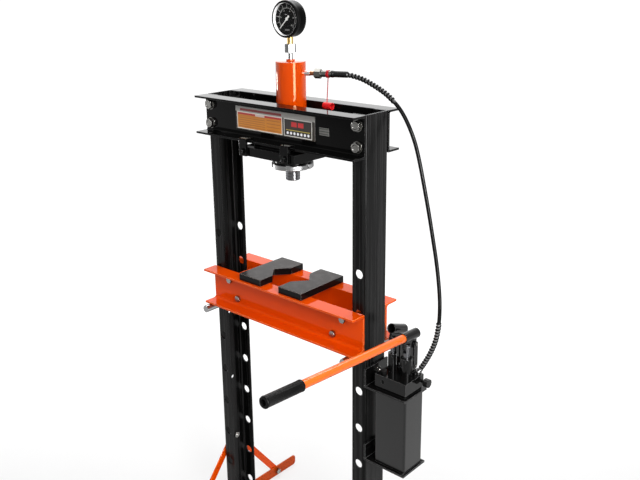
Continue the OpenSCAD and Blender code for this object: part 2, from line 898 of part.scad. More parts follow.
// Pointer on a spindle that turns in the case; it rests at the scale's lower left
module gauge_needle() {
    reach = (case_r - bezel_w) * needle_tip_share;
    tail = reach * needle_tail_share;
    color("white") {
        at_gauge(-gauge_depth / 2 + dial_deep - needle_room) {
            cylinder(h = needle_t, d = needle_hub_d);
            rotate(needle_zero) linear_extrude(needle_t) polygon([
                [-tail, -needle_root_w], [-tail, needle_root_w], [0, needle_root_w / 2],
                [reach, needle_tip_w / 2],
                [reach, -needle_tip_w / 2], [0, -needle_root_w / 2]
            ]);
            translate([0, 0, seat_gap - needle_room - dial_t - spindle_l])
                cylinder(h = spindle_l + dial_t + needle_room - seat_gap, d = spindle_d);
        }
    }
}

// Short nipple and thin sleeve screwed into the cylinder's side
module hose_port_nipple() {
    color(chrome) at_port(cylinder_d / 2 - port_sunk + seat_gap)
        cylinder(h = port_nipple_end - cylinder_d / 2 + port_sunk - seat_gap, d = port_nipple_d);
    color([0.62, 0.36, 0.22]) at_port(port_nipple_end)
        cylinder(h = port_sleeve_end - port_nipple_end, d = port_sleeve_d);
}

module quick_coupler() {
    color(zinc) {
        at_port(port_sleeve_end) hexagon(coupler_af, coupler_hex_end - port_sleeve_end);
        at_port(coupler_hex_end) cylinder(h = coupler_end - coupler_hex_end, d = coupler_body_d);
    }
}

// Crimped sleeves at both ends of the hose
module hose_ferrules() {
    color(pump_grey) {
        at_port(coupler_end) ferrule(ferrule_end - coupler_end);
        at_fitting(fitting_base_h + fitting_hex_l) cylinder(h = fitting_neck_l, d = fitting_neck_d);
    }
}

module ferrule(h) {
    r = ferrule_d / 2;
    rotate_extrude() polygon([
        [0, 0], [r, 0], [r, ferrule_lip * 2], [r - ferrule_lip / 3, ferrule_lip * 2 + ferrule_lip],
        [r - ferrule_lip / 3, h - ferrule_lip], [r - ferrule_lip, h], [0, h]
    ]);
}

// One moulding: a ring on the coupler, a thin strap that hangs from it and the cap at its end
module dust_cap() {
    ring_x = strap_r * cos(port_angle);
    ring_y = strap_r * sin(port_angle);
    top = [ring_x, ring_y, port_z - strap_d / 2 + cord_d / 2];
    foot = [ring_x, ring_y - cap_lean, port_z - cap_drop + cap_d / 2 - cord_d / 2];
    color("crimson") {
        at_port(strap_r - strap_w / 2) tube(strap_d, coupler_body_d + 2 * snug, strap_w);
        swept([top, foot], 0, 1, cord_d, hose_sides, [1, 0, 0]);
        translate([ring_x, ring_y - cap_lean, port_z - cap_drop]) rotate([0, 90, 0]) difference() {
            translate([0, 0, -cap_l / 3]) cylinder(h = cap_l, d = cap_d);
            translate([0, 0, cap_wall - cap_l / 3]) cylinder(h = cap_l, d = cap_d - 2 * cap_wall);
        }
    }
}

module hose() {
    color(rubber_black) swept(
        HOSE_PATH, upper_guard_end * hose_steps, lower_guard_start * hose_steps, hose_d, hose_sides, [0, 1, 0]
    );
}

// Outer form of the two bend guards, one at each end of the hose
module spring_guards() {
    last = len(HOSE_PATH) - 1;
    color(rubber_black) {
        swept(HOSE_PATH, 0, upper_guard_end * hose_steps, guard_d, hose_sides, [0, 1, 0], [port_dir, undef]);
        swept(
            HOSE_PATH, lower_guard_start * hose_steps, last, guard_d, hose_sides, [0, 1, 0],
            [undef, fitting_dir]
        );
    }
}

// Places its child on the leaning axis of the hose's end on the pump block
module at_fitting(h) {
    translate([fitting_x, fitting_y, block_top]) rotate([0, fitting_lean, 0]) translate([0, 0, h]) children();
}

module hose_end_fitting() {
    color(chrome) {
        difference() {
            at_fitting(-fitting_base_d) cylinder(h = fitting_base_h + fitting_base_d, d = fitting_base_d);
            translate([fitting_x, fitting_y, block_top - 2 * fitting_base_d])
                cube(4 * fitting_base_d, center = true);
        }
        at_fitting(fitting_base_h) hexagon(fitting_hex_af, fitting_hex_l);
    }
}

module bed_channel(back) {
    color(press_orange) difference() {
        translate([-back * bed_l / 2, back * bed_web_y, bed_top - bed_h / 2]) rotate([90, 0, back * 90])
            linear_extrude(bed_l) channel_section(bed_h, bed_flange, bed_wall, bed_corner, bed_root);
        for (b = BED_BOLTS) translate([b[0], back * (bed_web_y + bed_wall / 2), b[1]]) rotate([90, 0, 0])
            cylinder(h = bed_wall + 2 * overrun, d = bolt_d + 2 * drilled, center = true);
    }
}

module bed_front_channel() {
    bed_channel(-1);
}

module bed_rear_channel() {
    bed_channel(1);
}

module bed_spacers() {
    for (b = BED_BOLTS) color(press_orange) translate([b[0], bed_web_y, b[1]]) rotate([90, 0, 0])
        tube(spacer_d, bolt_d + 2 * drilled, 2 * bed_web_y);
}

// Long bolts through both channels and their spacers, with nuts at the back
module bed_bolts() {
    grip = 2 * (bed_web_y + bed_wall);
    for (b = BED_BOLTS) color(zinc) translate([b[0], -grip / 2, b[1]]) rotate([-90, 0, 0]) {
        hex_bolt(bolt_d, bolt_af, bolt_head, grip + nut_h + bolt_tail);
        translate([0, 0, grip]) hex_nut(bolt_d, bolt_af, nut_h);
    }
}

// Plate with a right-angled notch in its +X edge
module v_block() {
    difference() {
        linear_extrude(v_block_t) polygon([
            [-v_block_w / 2, -v_block_l / 2], [v_block_w / 2, -v_block_l / 2], [v_block_w / 2, -v_half],
            [v_block_w / 2 - v_depth, 0], [v_block_w / 2, v_half], [v_block_w / 2, v_block_l / 2],
            [-v_block_w / 2, v_block_l / 2]
        ]);
        for (y = [-1, 1]) translate([0, y * v_block_l / 2, v_block_t]) rotate([45, 0, 0])
            cube([v_block_w + overrun, v_chamfer, v_chamfer], center = true);
    }
}

module left_v_block() {
    color(frame_black) translate([v_left_x, v_shift_y, bed_top]) v_block();
}

module right_v_block() {
    color(frame_black) translate([v_right_x, v_shift_y, bed_top]) rotate(180) v_block();
}

module support_pins() {
    for (x = [-hole_x, hole_x]) color(chrome) translate([x, 0, pin_z]) rotate([90, 0, 0])
        cylinder(h = pin_l, d = pin_d, center = true);
}

// Angle plate: its upright leg is bolted to the web, its flat leg covers the tank and carries the pump
module pump_upper_bracket() {
    l = pump_gap + tank_l + bracket_over;
    color(pump_grey) difference() {
        union() {
            translate([post_x, -bracket_leg_w / 2, tank_top])
                cube([bracket_wall, bracket_leg_w, upper_leg_h]);
            translate([post_x, -shelf_w / 2, tank_top]) cube([l, shelf_w, bracket_wall]);
        }
        translate([post_x + bracket_wall / 2, 0, bracket_hole_zs[1]]) rotate([0, 90, 0])
            cylinder(h = bracket_wall + 2 * overrun, d = bolt_d + 2 * drilled, center = true);
        translate([suction_x, suction_y, tank_top - overrun])
            cylinder(h = bracket_wall + 2 * overrun, d = suction_d + suction_room);
    }
}

// Angle plate under the tank, with a small hole in each free corner
module pump_lower_bracket() {
    l = pump_gap + tank_l + shelf_over;
    color(pump_grey) difference() {
        union() {
            translate([post_x, -bracket_leg_w / 2, shelf_z]) cube([bracket_wall, bracket_leg_w, lower_leg_h]);
            translate([post_x, -shelf_w / 2, shelf_z]) cube([l, shelf_w, bracket_wall]);
        }
        translate([post_x + bracket_wall / 2, 0, bracket_hole_zs[0]]) rotate([0, 90, 0])
            cylinder(h = bracket_wall + 2 * overrun, d = bolt_d + 2 * drilled, center = true);
        for (y = [-1, 1])
            translate([post_x + l - shelf_hole_edge, y * (shelf_w / 2 - shelf_hole_edge), shelf_z - overrun])
                cylinder(h = bracket_wall + 2 * overrun, d = shelf_hole_d);
    }
}

// Folded sheet box, open at the top
module oil_tank() {
    color(pump_grey) translate([pump_x, 0, tank_bottom]) difference() {
        linear_extrude(tank_h) round_rect(tank_l, tank_w, tank_corner);
        translate([0, 0, tank_wall]) linear_extrude(tank_h)
            round_rect(tank_l - 2 * tank_wall, tank_w - 2 * tank_wall, tank_corner - tank_wall);
    }
}

module suction_tube() {
    color(chrome) translate([suction_x, suction_y, cover_top - suction_drop]) {
        tube(suction_d, suction_d - 2 * suction_wall, suction_drop);
        difference() {
            translate([0, 0, -strainer_h / 2]) cylinder(h = strainer_h, d = strainer_d);
            cylinder(h = strainer_h, d = suction_d + 2 * snug);
        }
    }
}

// Machined block on a narrower foot, drilled for both plungers, with an ear for each pair of links
module pump_block() {
    color(pump_grey) difference() {
        union() {
            translate([pump_x, 0, cover_top]) linear_extrude(foot_h)
                square([tank_l - 2 * foot_inset, tank_w - 2 * foot_inset], center = true);
            translate([pump_x, 0, block_bottom]) linear_extrude(block_h)
                square([tank_l, tank_w], center = true);
            for (u = UNITS) translate([u[0] - lug_t / 2, fulcrum_y, block_top]) rotate([90, 0, 90])
                linear_extrude(lug_t) union() {
                    translate([-ear_r, 0]) square([2 * ear_r, link_base_z - block_top]);
                    translate([0, link_base_z - block_top]) circle(ear_r);
                }
        }
        for (u = UNITS) {
            translate([u[0], plunger_y, block_bottom])
                cylinder(h = block_h + overrun, d = u[1] + 2 * drilled);
            translate([u[0], fulcrum_y, link_base_z]) rotate([0, 90, 0])
                cylinder(h = lug_t + 2 * overrun, d = pivot_d + 2 * snug, center = true);
        }
        translate([pump_x + tank_l / 2 - knob_sunk, knob_y, knob_z]) rotate([0, 90, 0])
            cylinder(h = knob_sunk + overrun, d = knob_stem_d + 2 * running);
        at_front_plug() translate([0, 0, -plug_sunk])
            cylinder(h = plug_sunk + overrun, d = plug_d + 2 * snug);
        at_filler() translate([0, 0, -plug_sunk]) cylinder(h = plug_sunk + overrun, d = plug_d + 2 * snug);
    }
}

module at_front_plug() {
    translate([pump_x - tank_l / 4, -tank_w / 2, knob_z]) rotate([90, 0, 0]) children();
}

module at_filler() {
    translate([pump_x - tank_l / 2 + filler_d, filler_d - tank_w / 2, block_top]) children();
}

// Socket plug in the block's front and filler plug on its top
module block_plugs() {
    color(zinc) at_front_plug() difference() {
        translate([0, 0, seat_gap - plug_sunk]) cylinder(h = plug_sunk, d = plug_d);
        translate([0, 0, seat_gap - plug_h]) hexagon(plug_af, plug_h + overrun);
    }
    color(pump_grey) at_filler() {
        translate([0, 0, seat_gap - plug_sunk]) cylinder(h = plug_sunk - seat_gap, d = plug_d);
        hexagon(filler_d, filler_h);
    }
}

// Barrels with a hex collar at the top
module pump_barrels() {
    for (u = UNITS) color(pump_grey) translate([u[0], plunger_y, block_top]) difference() {
        union() {
            cylinder(h = barrel_h, d = u[2]);
            translate([0, 0, barrel_h - collar_h]) hexagon(u[2] - collar_over / 2, collar_h);
        }
        translate([0, 0, -overrun]) cylinder(h = barrel_h + 2 * overrun, d = u[1] + 2 * running);
    }
}

// Rod with a forked head, and the pin across the fork
module plunger(u) {
    pin_z = fulcrum_z + lever_arm * tan(u[3]);
    bottom = block_bottom + plunger_end_h;
    color(chrome) translate([u[0], plunger_y, 0]) {
        difference() {
            union() {
                translate([0, 0, bottom]) cylinder(h = pin_z - fork_drop - bottom, d = u[1]);
                translate([0, 0, pin_z - fork_drop]) cylinder(h = fork_drop + fork_over, d = fork_d);
            }
            translate([-lug_t / 2 - link_gap, -fork_d, pin_z - fork_drop + fork_floor])
                cube([lug_t + 2 * link_gap, 2 * fork_d, fork_drop + fork_over]);
            translate([0, 0, pin_z]) rotate([0, 90, 0])
                cylinder(h = fork_d + 2 * overrun, d = pivot_d + 2 * snug, center = true);
        }
        translate([0, 0, pin_z]) rotate([0, 90, 0]) cylinder(h = fork_d, d = pivot_d, center = true);
    }
}

module left_plunger() {
    plunger(UNITS[0]);
}

module right_plunger() {
    plunger(UNITS[1]);
}

// Places its child in a lever's own frame: +X towards the handle, +Y up, Z across, origin at the fulcrum
module at_lever(u) {
    translate([u[0], fulcrum_y, fulcrum_z]) rotate([-u[3], 0, 0]) rotate([90, 0, -90]) children();
}

// Round socket for the handle on a flat lug, bored for the fulcrum and slotted for the plunger's pin
module lever_socket(u) {
    slot_end = lever_arm + slot_reach;
    color(pump_grey) at_lever(u) difference() {
        union() {
            linear_extrude(lug_t, center = true) {
                eye_bar(slot_end, lug_r, pivot_d + 2 * running);
                translate([-lug_r, lug_r / 2])
                    square([slot_end + 2 * lug_r, socket_up - (socket_d + socket_bore) / 4 - lug_r / 2]);
            }
            translate([-socket_back, socket_up, 0]) rotate([0, 90, 0])
                cylinder(h = socket_back + socket_front, d = socket_d);
        }
        translate([socket_end_t - socket_back, socket_up, 0]) rotate([0, 90, 0])
            cylinder(h = socket_back + socket_front, d = socket_bore);
        translate([lever_arm, 0, 0]) linear_extrude(lug_t + 2 * overrun, center = true) union() {
            r = pivot_d / 2 + slot_play;
            translate([0, -r]) square([slot_reach, 2 * r]);
            for (x = [0, slot_reach]) translate([x, 0]) circle(r);
        }
        cylinder(h = lug_t + 2 * overrun, d = pivot_d + 2 * running, center = true);
    }
}

module left_lever_socket() {
    lever_socket(UNITS[0]);
}

module right_lever_socket() {
    lever_socket(UNITS[1]);
}

// Two flat links beside each lug, from the block's ear up to the fulcrum
module lever_links() {
    for (u = UNITS, s = [-1, 1]) color(pump_grey)
        translate([u[0] + s * (lug_t / 2 + link_gap + link_t / 2), fulcrum_y, link_base_z])
            rotate([0, -90, 0])
            linear_extrude(link_t, center = true)
                eye_bar(fulcrum_z - link_base_z, lug_r, pivot_d + 2 * snug);
}

module lever_pins() {
    l = lug_t + 2 * (link_gap + link_t + bolt_tail);
    for (u = UNITS, z = [link_base_z, fulcrum_z]) color(zinc) translate([u[0], fulcrum_y, z])
        rotate([0, 90, 0])
        cylinder(h = l, d = pivot_d, center = true);
}

// Places its child at the inner end of the handle in the right socket, +Z towards the grip
module at_handle() {
    at_lever(UNITS[1]) translate([socket_end_t - socket_back + handle_seat, socket_up, 0]) rotate([0, 90, 0])
        children();
}

module handle_tube() {
    color([0.95, 0.45, 0.16]) at_handle() tube(handle_d, handle_d - 2 * handle_wall, handle_l);
}

// Moulded sleeve with shallow rings, closed at the end
module handle_grip() {
    r = grip_d / 2;
    color(rubber_black) at_handle() translate([0, 0, handle_l + grip_wall - grip_l]) difference() {
        rotate_extrude() polygon([
            [0, 0], [r - grip_wall / 2, 0], [r, grip_wall / 2], [r, grip_l - grip_wall / 2],
            [r - grip_wall / 2, grip_l], [grip_hole_d / 2, grip_l],
            [grip_hole_d / 2, grip_l - grip_hole_h], [0, grip_l - grip_hole_h]
        ]);
        translate([0, 0, -overrun]) cylinder(h = grip_l - grip_wall + overrun, d = handle_d + 2 * snug);
    }
}

// Fluted knob on a stem that screws into the block's end
module release_knob() {
    color(rubber_black) translate([pump_x + tank_l / 2, knob_y, knob_z]) rotate([0, 90, 0]) {
        translate([0, 0, seat_gap - knob_sunk])
            cylinder(h = knob_sunk + knob_stem_l - seat_gap, d = knob_stem_d);
        translate([0, 0, knob_stem_l]) difference() {
            cylinder(h = knob_h, d = knob_d);
            for (a = [0 : 360 / knob_flutes : 359]) rotate(a)
                translate([knob_d / 2 + knob_flute_d / 4, 0, -overrun])
                cylinder(h = knob_h + 2 * overrun, d = knob_flute_d);
        }
    }
}

left_upright();
right_upright();
head_front_channel();
head_rear_channel();
head_bolts();
head_nuts();
lower_cross_channel();
frame_bolts();
frame_nuts();
left_foot();
right_foot();
left_braces();
right_braces();
carriage_plate();
carriage_claws();
claw_bolts();
cylinder_body();
lock_ring();
gland_bush();
ram();
piston_seal();
return_spring();
gauge_nipple();
gauge_coupling();
gauge_stem();
gauge_case();
gauge_bezel();
gauge_dial();
gauge_lens();
gauge_needle();
hose_port_nipple();
quick_coupler();
hose_ferrules();
dust_cap();
hose();
spring_guards();
hose_end_fitting();
bed_front_channel();
bed_rear_channel();
bed_spacers();
bed_bolts();
left_v_block();
right_v_block();
support_pins();
pump_upper_bracket();
pump_lower_bracket();
oil_tank();
suction_tube();
pump_block();
block_plugs();
pump_barrels();
left_plunger();
right_plunger();
left_lever_socket();
right_lever_socket();
lever_links();
lever_pins();
handle_tube();
handle_grip();
release_knob();
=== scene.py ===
import math

import bmesh
import bpy
import numpy as np
from mathutils import Matrix, Vector


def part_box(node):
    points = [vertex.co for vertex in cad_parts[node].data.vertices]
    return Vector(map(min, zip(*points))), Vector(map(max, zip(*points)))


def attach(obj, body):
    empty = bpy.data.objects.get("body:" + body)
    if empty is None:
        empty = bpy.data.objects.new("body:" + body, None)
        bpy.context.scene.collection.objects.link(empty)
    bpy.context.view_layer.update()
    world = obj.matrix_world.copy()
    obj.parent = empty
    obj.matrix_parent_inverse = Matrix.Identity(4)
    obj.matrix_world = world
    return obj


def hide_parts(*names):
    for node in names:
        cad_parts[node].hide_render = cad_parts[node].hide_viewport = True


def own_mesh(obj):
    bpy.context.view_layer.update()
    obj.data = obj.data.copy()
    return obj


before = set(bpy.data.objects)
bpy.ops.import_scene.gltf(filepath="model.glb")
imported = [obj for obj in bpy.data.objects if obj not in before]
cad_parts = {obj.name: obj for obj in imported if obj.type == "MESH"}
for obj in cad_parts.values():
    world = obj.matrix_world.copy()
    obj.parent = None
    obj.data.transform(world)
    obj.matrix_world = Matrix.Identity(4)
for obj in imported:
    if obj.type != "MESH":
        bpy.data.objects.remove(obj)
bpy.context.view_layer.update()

# The studio: a camera a little above the head of the press and to its right, as in the photograph. Soft
# boxes stand to the right, in front and overhead, in a room that is brightest behind the press. Three
# more strips of light show in glossy surfaces alone.
photo_wide, photo_high, focal_px, middle_row = 640, 480, 807.64, 208
camera_place, sensor_wide = (1.65734, -1.74068, 1.932), 36.0
azimuth, pitch, roll = (math.radians(a) for a in (41.6463, 16.5811, -0.6538))
ahead = Vector((
    -math.sin(azimuth) * math.cos(pitch), math.cos(azimuth) * math.cos(pitch), -math.sin(pitch),
))
across = Vector((math.cos(azimuth), math.sin(azimuth), 0.0))
above = across.cross(ahead)
right = across * math.cos(roll) + above * math.sin(roll)
upward = above * math.cos(roll) - across * math.sin(roll)
turned_to = Matrix((right, upward, -ahead)).transposed().to_4x4()
camera = bpy.data.objects.new("camera", bpy.data.cameras.new("camera"))
camera.matrix_world = Matrix.Translation(camera_place) @ turned_to
camera.data.sensor_width = sensor_wide
camera.data.lens = sensor_wide * focal_px / photo_wide
camera.data.shift_y = (middle_row - photo_high / 2) / photo_wide
bpy.context.scene.collection.objects.link(camera)
bpy.context.scene.camera = camera
bpy.context.scene.view_settings.view_transform = "Standard"


class Wire:
    """One socket in a node tree. Sums, products and comparisons of wires add Math nodes."""

    def __init__(self, tree, socket):
        self.tree, self.socket = tree, socket

    def add(self, kind, settings, inputs, out=0):
        """A node of that kind: its settings first, then a value or a wire for each named input."""
        node = self.tree.nodes.new(kind)
        for key, value in settings.items():
            setattr(node, key, value)
        for key, value in inputs.items():
            if isinstance(value, Wire):
                self.tree.links.new(value.socket, node.inputs[key])
            else:
                node.inputs[key].default_value = value
        return Wire(self.tree, node.outputs[out])

    def maths(self, operation, *values):
        """A Math node of that operation on the values."""
        return self.add("ShaderNodeMath", {"operation": operation}, dict(enumerate(values)))

    def dot(self, other):
        """The dot product of two directions."""
        operation = {"operation": "DOT_PRODUCT"}
        return self.add("ShaderNodeVectorMath", operation, {0: self, 1: other}, out="Value")

    def axes(self):
        """The X, Y and Z of a place."""
        split = self.add("ShaderNodeSeparateXYZ", {}, {0: self})
        return [Wire(self.tree, out) for out in split.socket.node.outputs]

    def at_least(self, low):
        return self.maths("MAXIMUM", self, low)

    def at_most(self, high):
        return self.maths("MINIMUM", self, high)

    def __add__(self, other):
        return self.maths("ADD", self, other)

    def __sub__(self, other):
        return self.maths("SUBTRACT", self, other)

    def __rsub__(self, other):
        return self.maths("SUBTRACT", other, self)

    def __mul__(self, other):
        return self.maths("MULTIPLY", self, other)

    def __truediv__(self, other):
        return self.maths("DIVIDE", self, other)

    def __mod__(self, other):
        return self.maths("FLOORED_MODULO", self, other)

    def __lt__(self, other):
        return self.maths("LESS_THAN", self, other)

    def __gt__(self, other):
        return self.maths("GREATER_THAN", self, other)

    def __abs__(self):
        return self.maths("ABSOLUTE", self)

    __radd__, __rmul__ = __add__, __mul__


room = bpy.data.worlds.new("studio")
room.use_nodes = True
backdrop = room.node_tree.nodes["Background"]
gaze = Wire(room.node_tree, room.node_tree.nodes.new("ShaderNodeTexCoord").outputs["Generated"])
behind = Vector((-math.sin(azimuth), math.cos(azimuth), 0.0))
glow = (gaze.dot(behind) + 0.1).at_least(0.0)
horizon = (glow - 0.75).at_least(0.0)
room_level, glow_rise, horizon_rise = 0.42, 0.6, 1.6
room_strength = room_level + glow_rise * glow + horizon_rise * horizon
backdrop.inputs["Color"].default_value = (1.0, 1.0, 1.0, 1.0)
room.node_tree.links.new(room_strength.socket, backdrop.inputs["Strength"])
bpy.context.scene.world = room


def soft_box(name, place, target, wide, tall, power, gleam=False):
    """A soft box of that width and height at place, turned towards target and out of the camera's sight.
    A gleam is one that only glossy surfaces show."""
    light = bpy.data.lights.new(name, "AREA")
    light.shape = "RECTANGLE"
    light.size, light.size_y = wide, tall
    light.energy = power
    box = bpy.data.objects.new(name, light)
    box.location = place
    box.rotation_euler = (Vector(target) - Vector(place)).to_track_quat("-Z", "Y").to_euler()
    box.visible_camera = False
    box.visible_diffuse = not gleam
    bpy.context.scene.collection.objects.link(box)


soft_box("right_box", (3.0, -1.2, 2.6), (0.0, 0.0, 1.2), wide=1.4, tall=1.4, power=150)
soft_box("front_box", (1.8, -2.7, 3.4), (0.0, 0.0, 1.2), wide=1.6, tall=1.6, power=40)
soft_box("top_box", (-0.6, 1.2, 4.0), (0.0, 0.0, 1.0), wide=2.6, tall=2.6, power=90)
soft_box("right_gleam", (3.0, -1.13, 1.325), (0.0, 0.0, 1.325), wide=0.9, tall=1.75, power=111, gleam=True)
soft_box("left_gleam", (-3.0, -0.2, 0.7), (0.0, 0.0, 0.7), wide=0.5, tall=1.4, power=45, gleam=True)
soft_box("top_gleam", (-0.8, 2.2, 3.8), (0.4, -0.3, 0.9), wide=2.4, tall=1.8, power=60, gleam=True)


# The floor: a wide sheet of board that the press stands on, made pale by a painted glow: it gives off
# light that grows brighter towards the back of the scene, so that it meets the room there without a line.
def finish(name):
    """A new material, and a wire that carries the point's place on the object."""
    made = bpy.data.materials.new(name)
    made.use_nodes = True
    coords = made.node_tree.nodes.new("ShaderNodeTexCoord")
    return made, Wire(made.node_tree, coords.outputs["Object"])


def surface(made, **sockets):
    """Sets the shader's sockets, written with underscores for spaces, to values or wires."""
    shader = made.node_tree.nodes["Principled BSDF"]
    for key, value in sockets.items():
        socket = shader.inputs[key.replace("_", " ")]
        if isinstance(value, Wire):
            made.node_tree.links.new(value.socket, socket)
        else:
            socket.default_value = value
    return made


def noise(place, scale, detail=2.0, rough=0.5):
    """Cloudy noise from 0 to 1, with about scale bumps to the metre."""
    inputs = {"Vector": place, "Scale": scale, "Detail": detail, "Roughness": rough}
    return place.add("ShaderNodeTexNoise", {}, inputs)


def grey(level):
    return (level, level, level, 1)


def tint(mask, under, over):
    """Colour under where the mask is 0 and over where it is 1."""
    return mask.add("ShaderNodeMix", {"data_type": "RGBA"}, {0: mask, 6: under, 7: over}, out=2)


floor_reach, floor_drop = 90.0, 0.0004
floor_corners = [(-1, -1), (1, -1), (1, 1), (-1, 1)]
floor_points = [(floor_reach * x, floor_reach * y, -floor_drop) for x, y in floor_corners]
floor_mesh = bpy.data.meshes.new("floor")
floor_mesh.from_pydata(floor_points, [], [(0, 1, 2, 3)])
floor = bpy.data.objects.new("floor", floor_mesh)
bpy.context.scene.collection.objects.link(floor)
floor_paint_and_glow, spot = finish("floor_paint_and_glow")
over_x, over_y = spot.axes()[:2]
bright_from, bright_run = 1.5, 3.2
rear = (over_x * behind.x + over_y * behind.y + bright_from) / bright_run
# A painted glow: the floor gives off light, brighter towards the back.
surface(
    floor_paint_and_glow, Base_Color=tint(noise(spot, 3.0), grey(0.22), grey(0.24)), Roughness=0.7,
    Specular_IOR_Level=0.0, Emission_Strength=0.95,
    Emission_Color=tint(rear.at_least(0.0).at_most(1.0), grey(0.2), grey(1.0)),
)
floor_mesh.materials.append(floor_paint_and_glow)


# The frame's steelwork: uprights and head channels folded from plate, bolted together with a cross
# channel low down, in black powder coat. It has a fine orange peel, and its edges are painted a lighter
# grey, partly as worn paint and partly as a painted highlight. The uprights' coat is duller, with faint
# streaks along them.
def rounded(place, radius):
    """The surface's normal with its sharp edges eased over that radius."""
    return place.add("ShaderNodeBevel", {"samples": 4}, {"Radius": radius})


def bumped(height, strength, depth, normal):
    """The normal with the height's relief on it, depth metres from 0 to 1."""
    inputs = {"Strength": strength, "Distance": depth, "Height": height, "Normal": normal}
    return height.add("ShaderNodeBump", {}, inputs)


def shaded(colour, share):
    """The colour made darker or lighter by that share."""
    return tuple(share * c for c in colour[:3]) + (1,)


def stretched(place, scale):
    """The place with each axis times its scale, so that noise on it is drawn out along the least one."""
    return place.add("ShaderNodeMapping", {}, {"Vector": place, "Scale": scale})


def worn_and_lit_edge(place, eased):
    """1 along sharp edges, broken up by noise: where 1 minus the cosine between the eased normal and the
    true one is high. The lighter colour laid on it is partly rubbed paint and partly a painted highlight."""
    true = place.add("ShaderNodeNewGeometry", {}, {}, out="True Normal")
    lean, gain, least = 1 - eased.dot(true), 9, 0.1
    return lean * gain > noise(place, 60, detail=4.0) + least


def powder_coat(name, colour, thin, gloss, wear, level, streaks=0.0, ease=0.0018, cast=grey(1.0)):
    """Colour with soft clouds and lighter edges, a fine orange peel, and a gloss that dulls where it was
    handled. The lighter edges are partly rubbed paint and partly a painted highlight. Streaks are noise
    drawn out along Z that dulls the gloss and greys the colour in upright bands. Thin is the colour of worn
    paint and of the painted edge highlight, level how strongly it mirrors, and cast the colour of what it
    mirrors."""
    made, place = finish(name)
    eased = rounded(place, ease)
    # Lighter edges: partly rubbed paint, partly a painted highlight.
    rubbed_and_lit = worn_and_lit_edge(place, eased) * wear
    clouds = noise(place, 7.0, detail=3.0)
    dull = noise(place, 22.0, detail=5.0, rough=0.65)
    drawn = noise(stretched(place, (120.0, 120.0, 1.2)), 1.0, detail=4.0, rough=0.6)
    peel = noise(place, 620.0, detail=1.0)
    base = tint(clouds, colour, shaded(colour, 0.82))
    base = tint((drawn > 0.52) * streaks, base, thin)
    return surface(
        made, Base_Color=tint(rubbed_and_lit, base, thin),
        Roughness=gloss + dull * 0.05 + rubbed_and_lit * 0.15 + drawn * (0.4 * streaks),
        Specular_IOR_Level=level, Specular_Tint=cast, Normal=bumped(peel, 0.06, 0.0001, eased),
    )


def dress(made, *nodes):
    """Gives CAD nodes a material."""
    for node in nodes:
        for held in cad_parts[node].material_slots:
            held.material = made


frame_paint = powder_coat(
    "black_powder_coat", grey(0.002), thin=grey(0.08), gloss=0.04, wear=0.5, level=0.13, ease=0.0012,
)
upright_paint = powder_coat(
    "streaked_powder_coat", grey(0.002), thin=grey(0.03), gloss=0.16, wear=0.3, level=0.12, streaks=0.3,
    ease=0.0009,
)
dress(frame_paint, "head_front_channel", "head_rear_channel", "lower_cross_channel")
dress(upright_paint, "left_upright", "right_upright")


# The label on the head's front web: a thin printed plate, glued on, with a dark ground, a silver header
# with a dark red bar, an amber panel with rows of lines under a red bar, and a dark panel with two red
# blocks over a yellow line and a row of pale dots. A small grey tag is glued beside it.
def closed_mesh(name, points, faces, crease=35):
    """A piece from points and faces: doubled points are merged, faces turned outwards, and edges under
    crease degrees shaded smooth."""
    mesh = bpy.data.meshes.new(name)
    mesh.from_pydata(np.asarray(points).reshape(-1, 3).tolist(), [], faces)
    shell = bmesh.new()
    shell.from_mesh(mesh)
    bmesh.ops.remove_doubles(shell, verts=shell.verts, dist=1e-6)
    bmesh.ops.recalc_face_normals(shell, faces=shell.faces)
    shell.to_mesh(mesh)
    shell.free()
    mesh.shade_smooth()
    mesh.set_sharp_from_angle(angle=math.radians(crease))
    piece = bpy.data.objects.new(name, mesh)
    bpy.context.scene.collection.objects.link(piece)
    return piece


def grid_piece(name, points, wrap_rows=False, cap_rows=False):
    """Quads between the points of a grid, array rows x columns x 3, whose columns close on themselves.
    The rows may close too, or the first and last may be capped by one face each."""
    rows, columns = points.shape[:2]
    index = np.arange(rows * columns).reshape(rows, columns)
    down = np.vstack((index, index[:1])) if wrap_rows else index
    both = np.hstack((down, down[:, :1]))
    quads = np.stack((both[:-1, :-1], both[:-1, 1:], both[1:, 1:], both[1:, :-1]), axis=-1)
    faces = quads.reshape(-1, 4).tolist()
    if cap_rows:
        faces += [index[0, ::-1].tolist(), index[-1].tolist()]
    return closed_mesh(name, points, faces)


def fit(piece, made, body, slot=None, *nodes):
    """A piece's material, the body that it rides on, its slot (not used) and the CAD nodes that it stands
    for.
    """
    piece.data.materials.append(made)
    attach(piece, body)
    if nodes:
        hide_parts(*nodes)


def plate(name, low, high):
    """A thin plate that faces -Y, its front edges cut at a slant: four closed rings, each the rectangle
    drawn in by its inset, from the back edge to the middle of the front."""
    centre, half = (np.array(low) + high) / 2, (np.array(high) - low) / 2
    corners = np.array([(-1, -1), (1, -1), (1, 1), (-1, 1)], float)
    thick = 2 * half[1]
    inset = np.array([0.0, 0.0, 0.3 * thick, 0.6 * half[2]])[:, None]
    depth = np.array([high[1], low[1] + 0.4 * thick, low[1], low[1]])[:, None]
    points = np.stack((
        centre[0] + corners[:, 0] * (half[0] - inset), np.broadcast_to(depth, (4, 4)),
        centre[2] + corners[:, 1] * (half[2] - inset),
    ), axis=-1)
    return grid_piece(name, points, cap_rows=True)


channel_lip, channel_wall = 0.052, 0.006
web_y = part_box("head_front_channel")[0][1] + channel_lip - channel_wall
label_x, label_z, label_thick = (-0.185, 0.144), (1.455, 1.527), 0.0008
label = plate("head_label", (label_x[0], web_y - label_thick, label_z[0]), (label_x[1], web_y, label_z[1]))
label_print, spot = finish("label_print")
over_x, over_z = spot.axes()[::2]


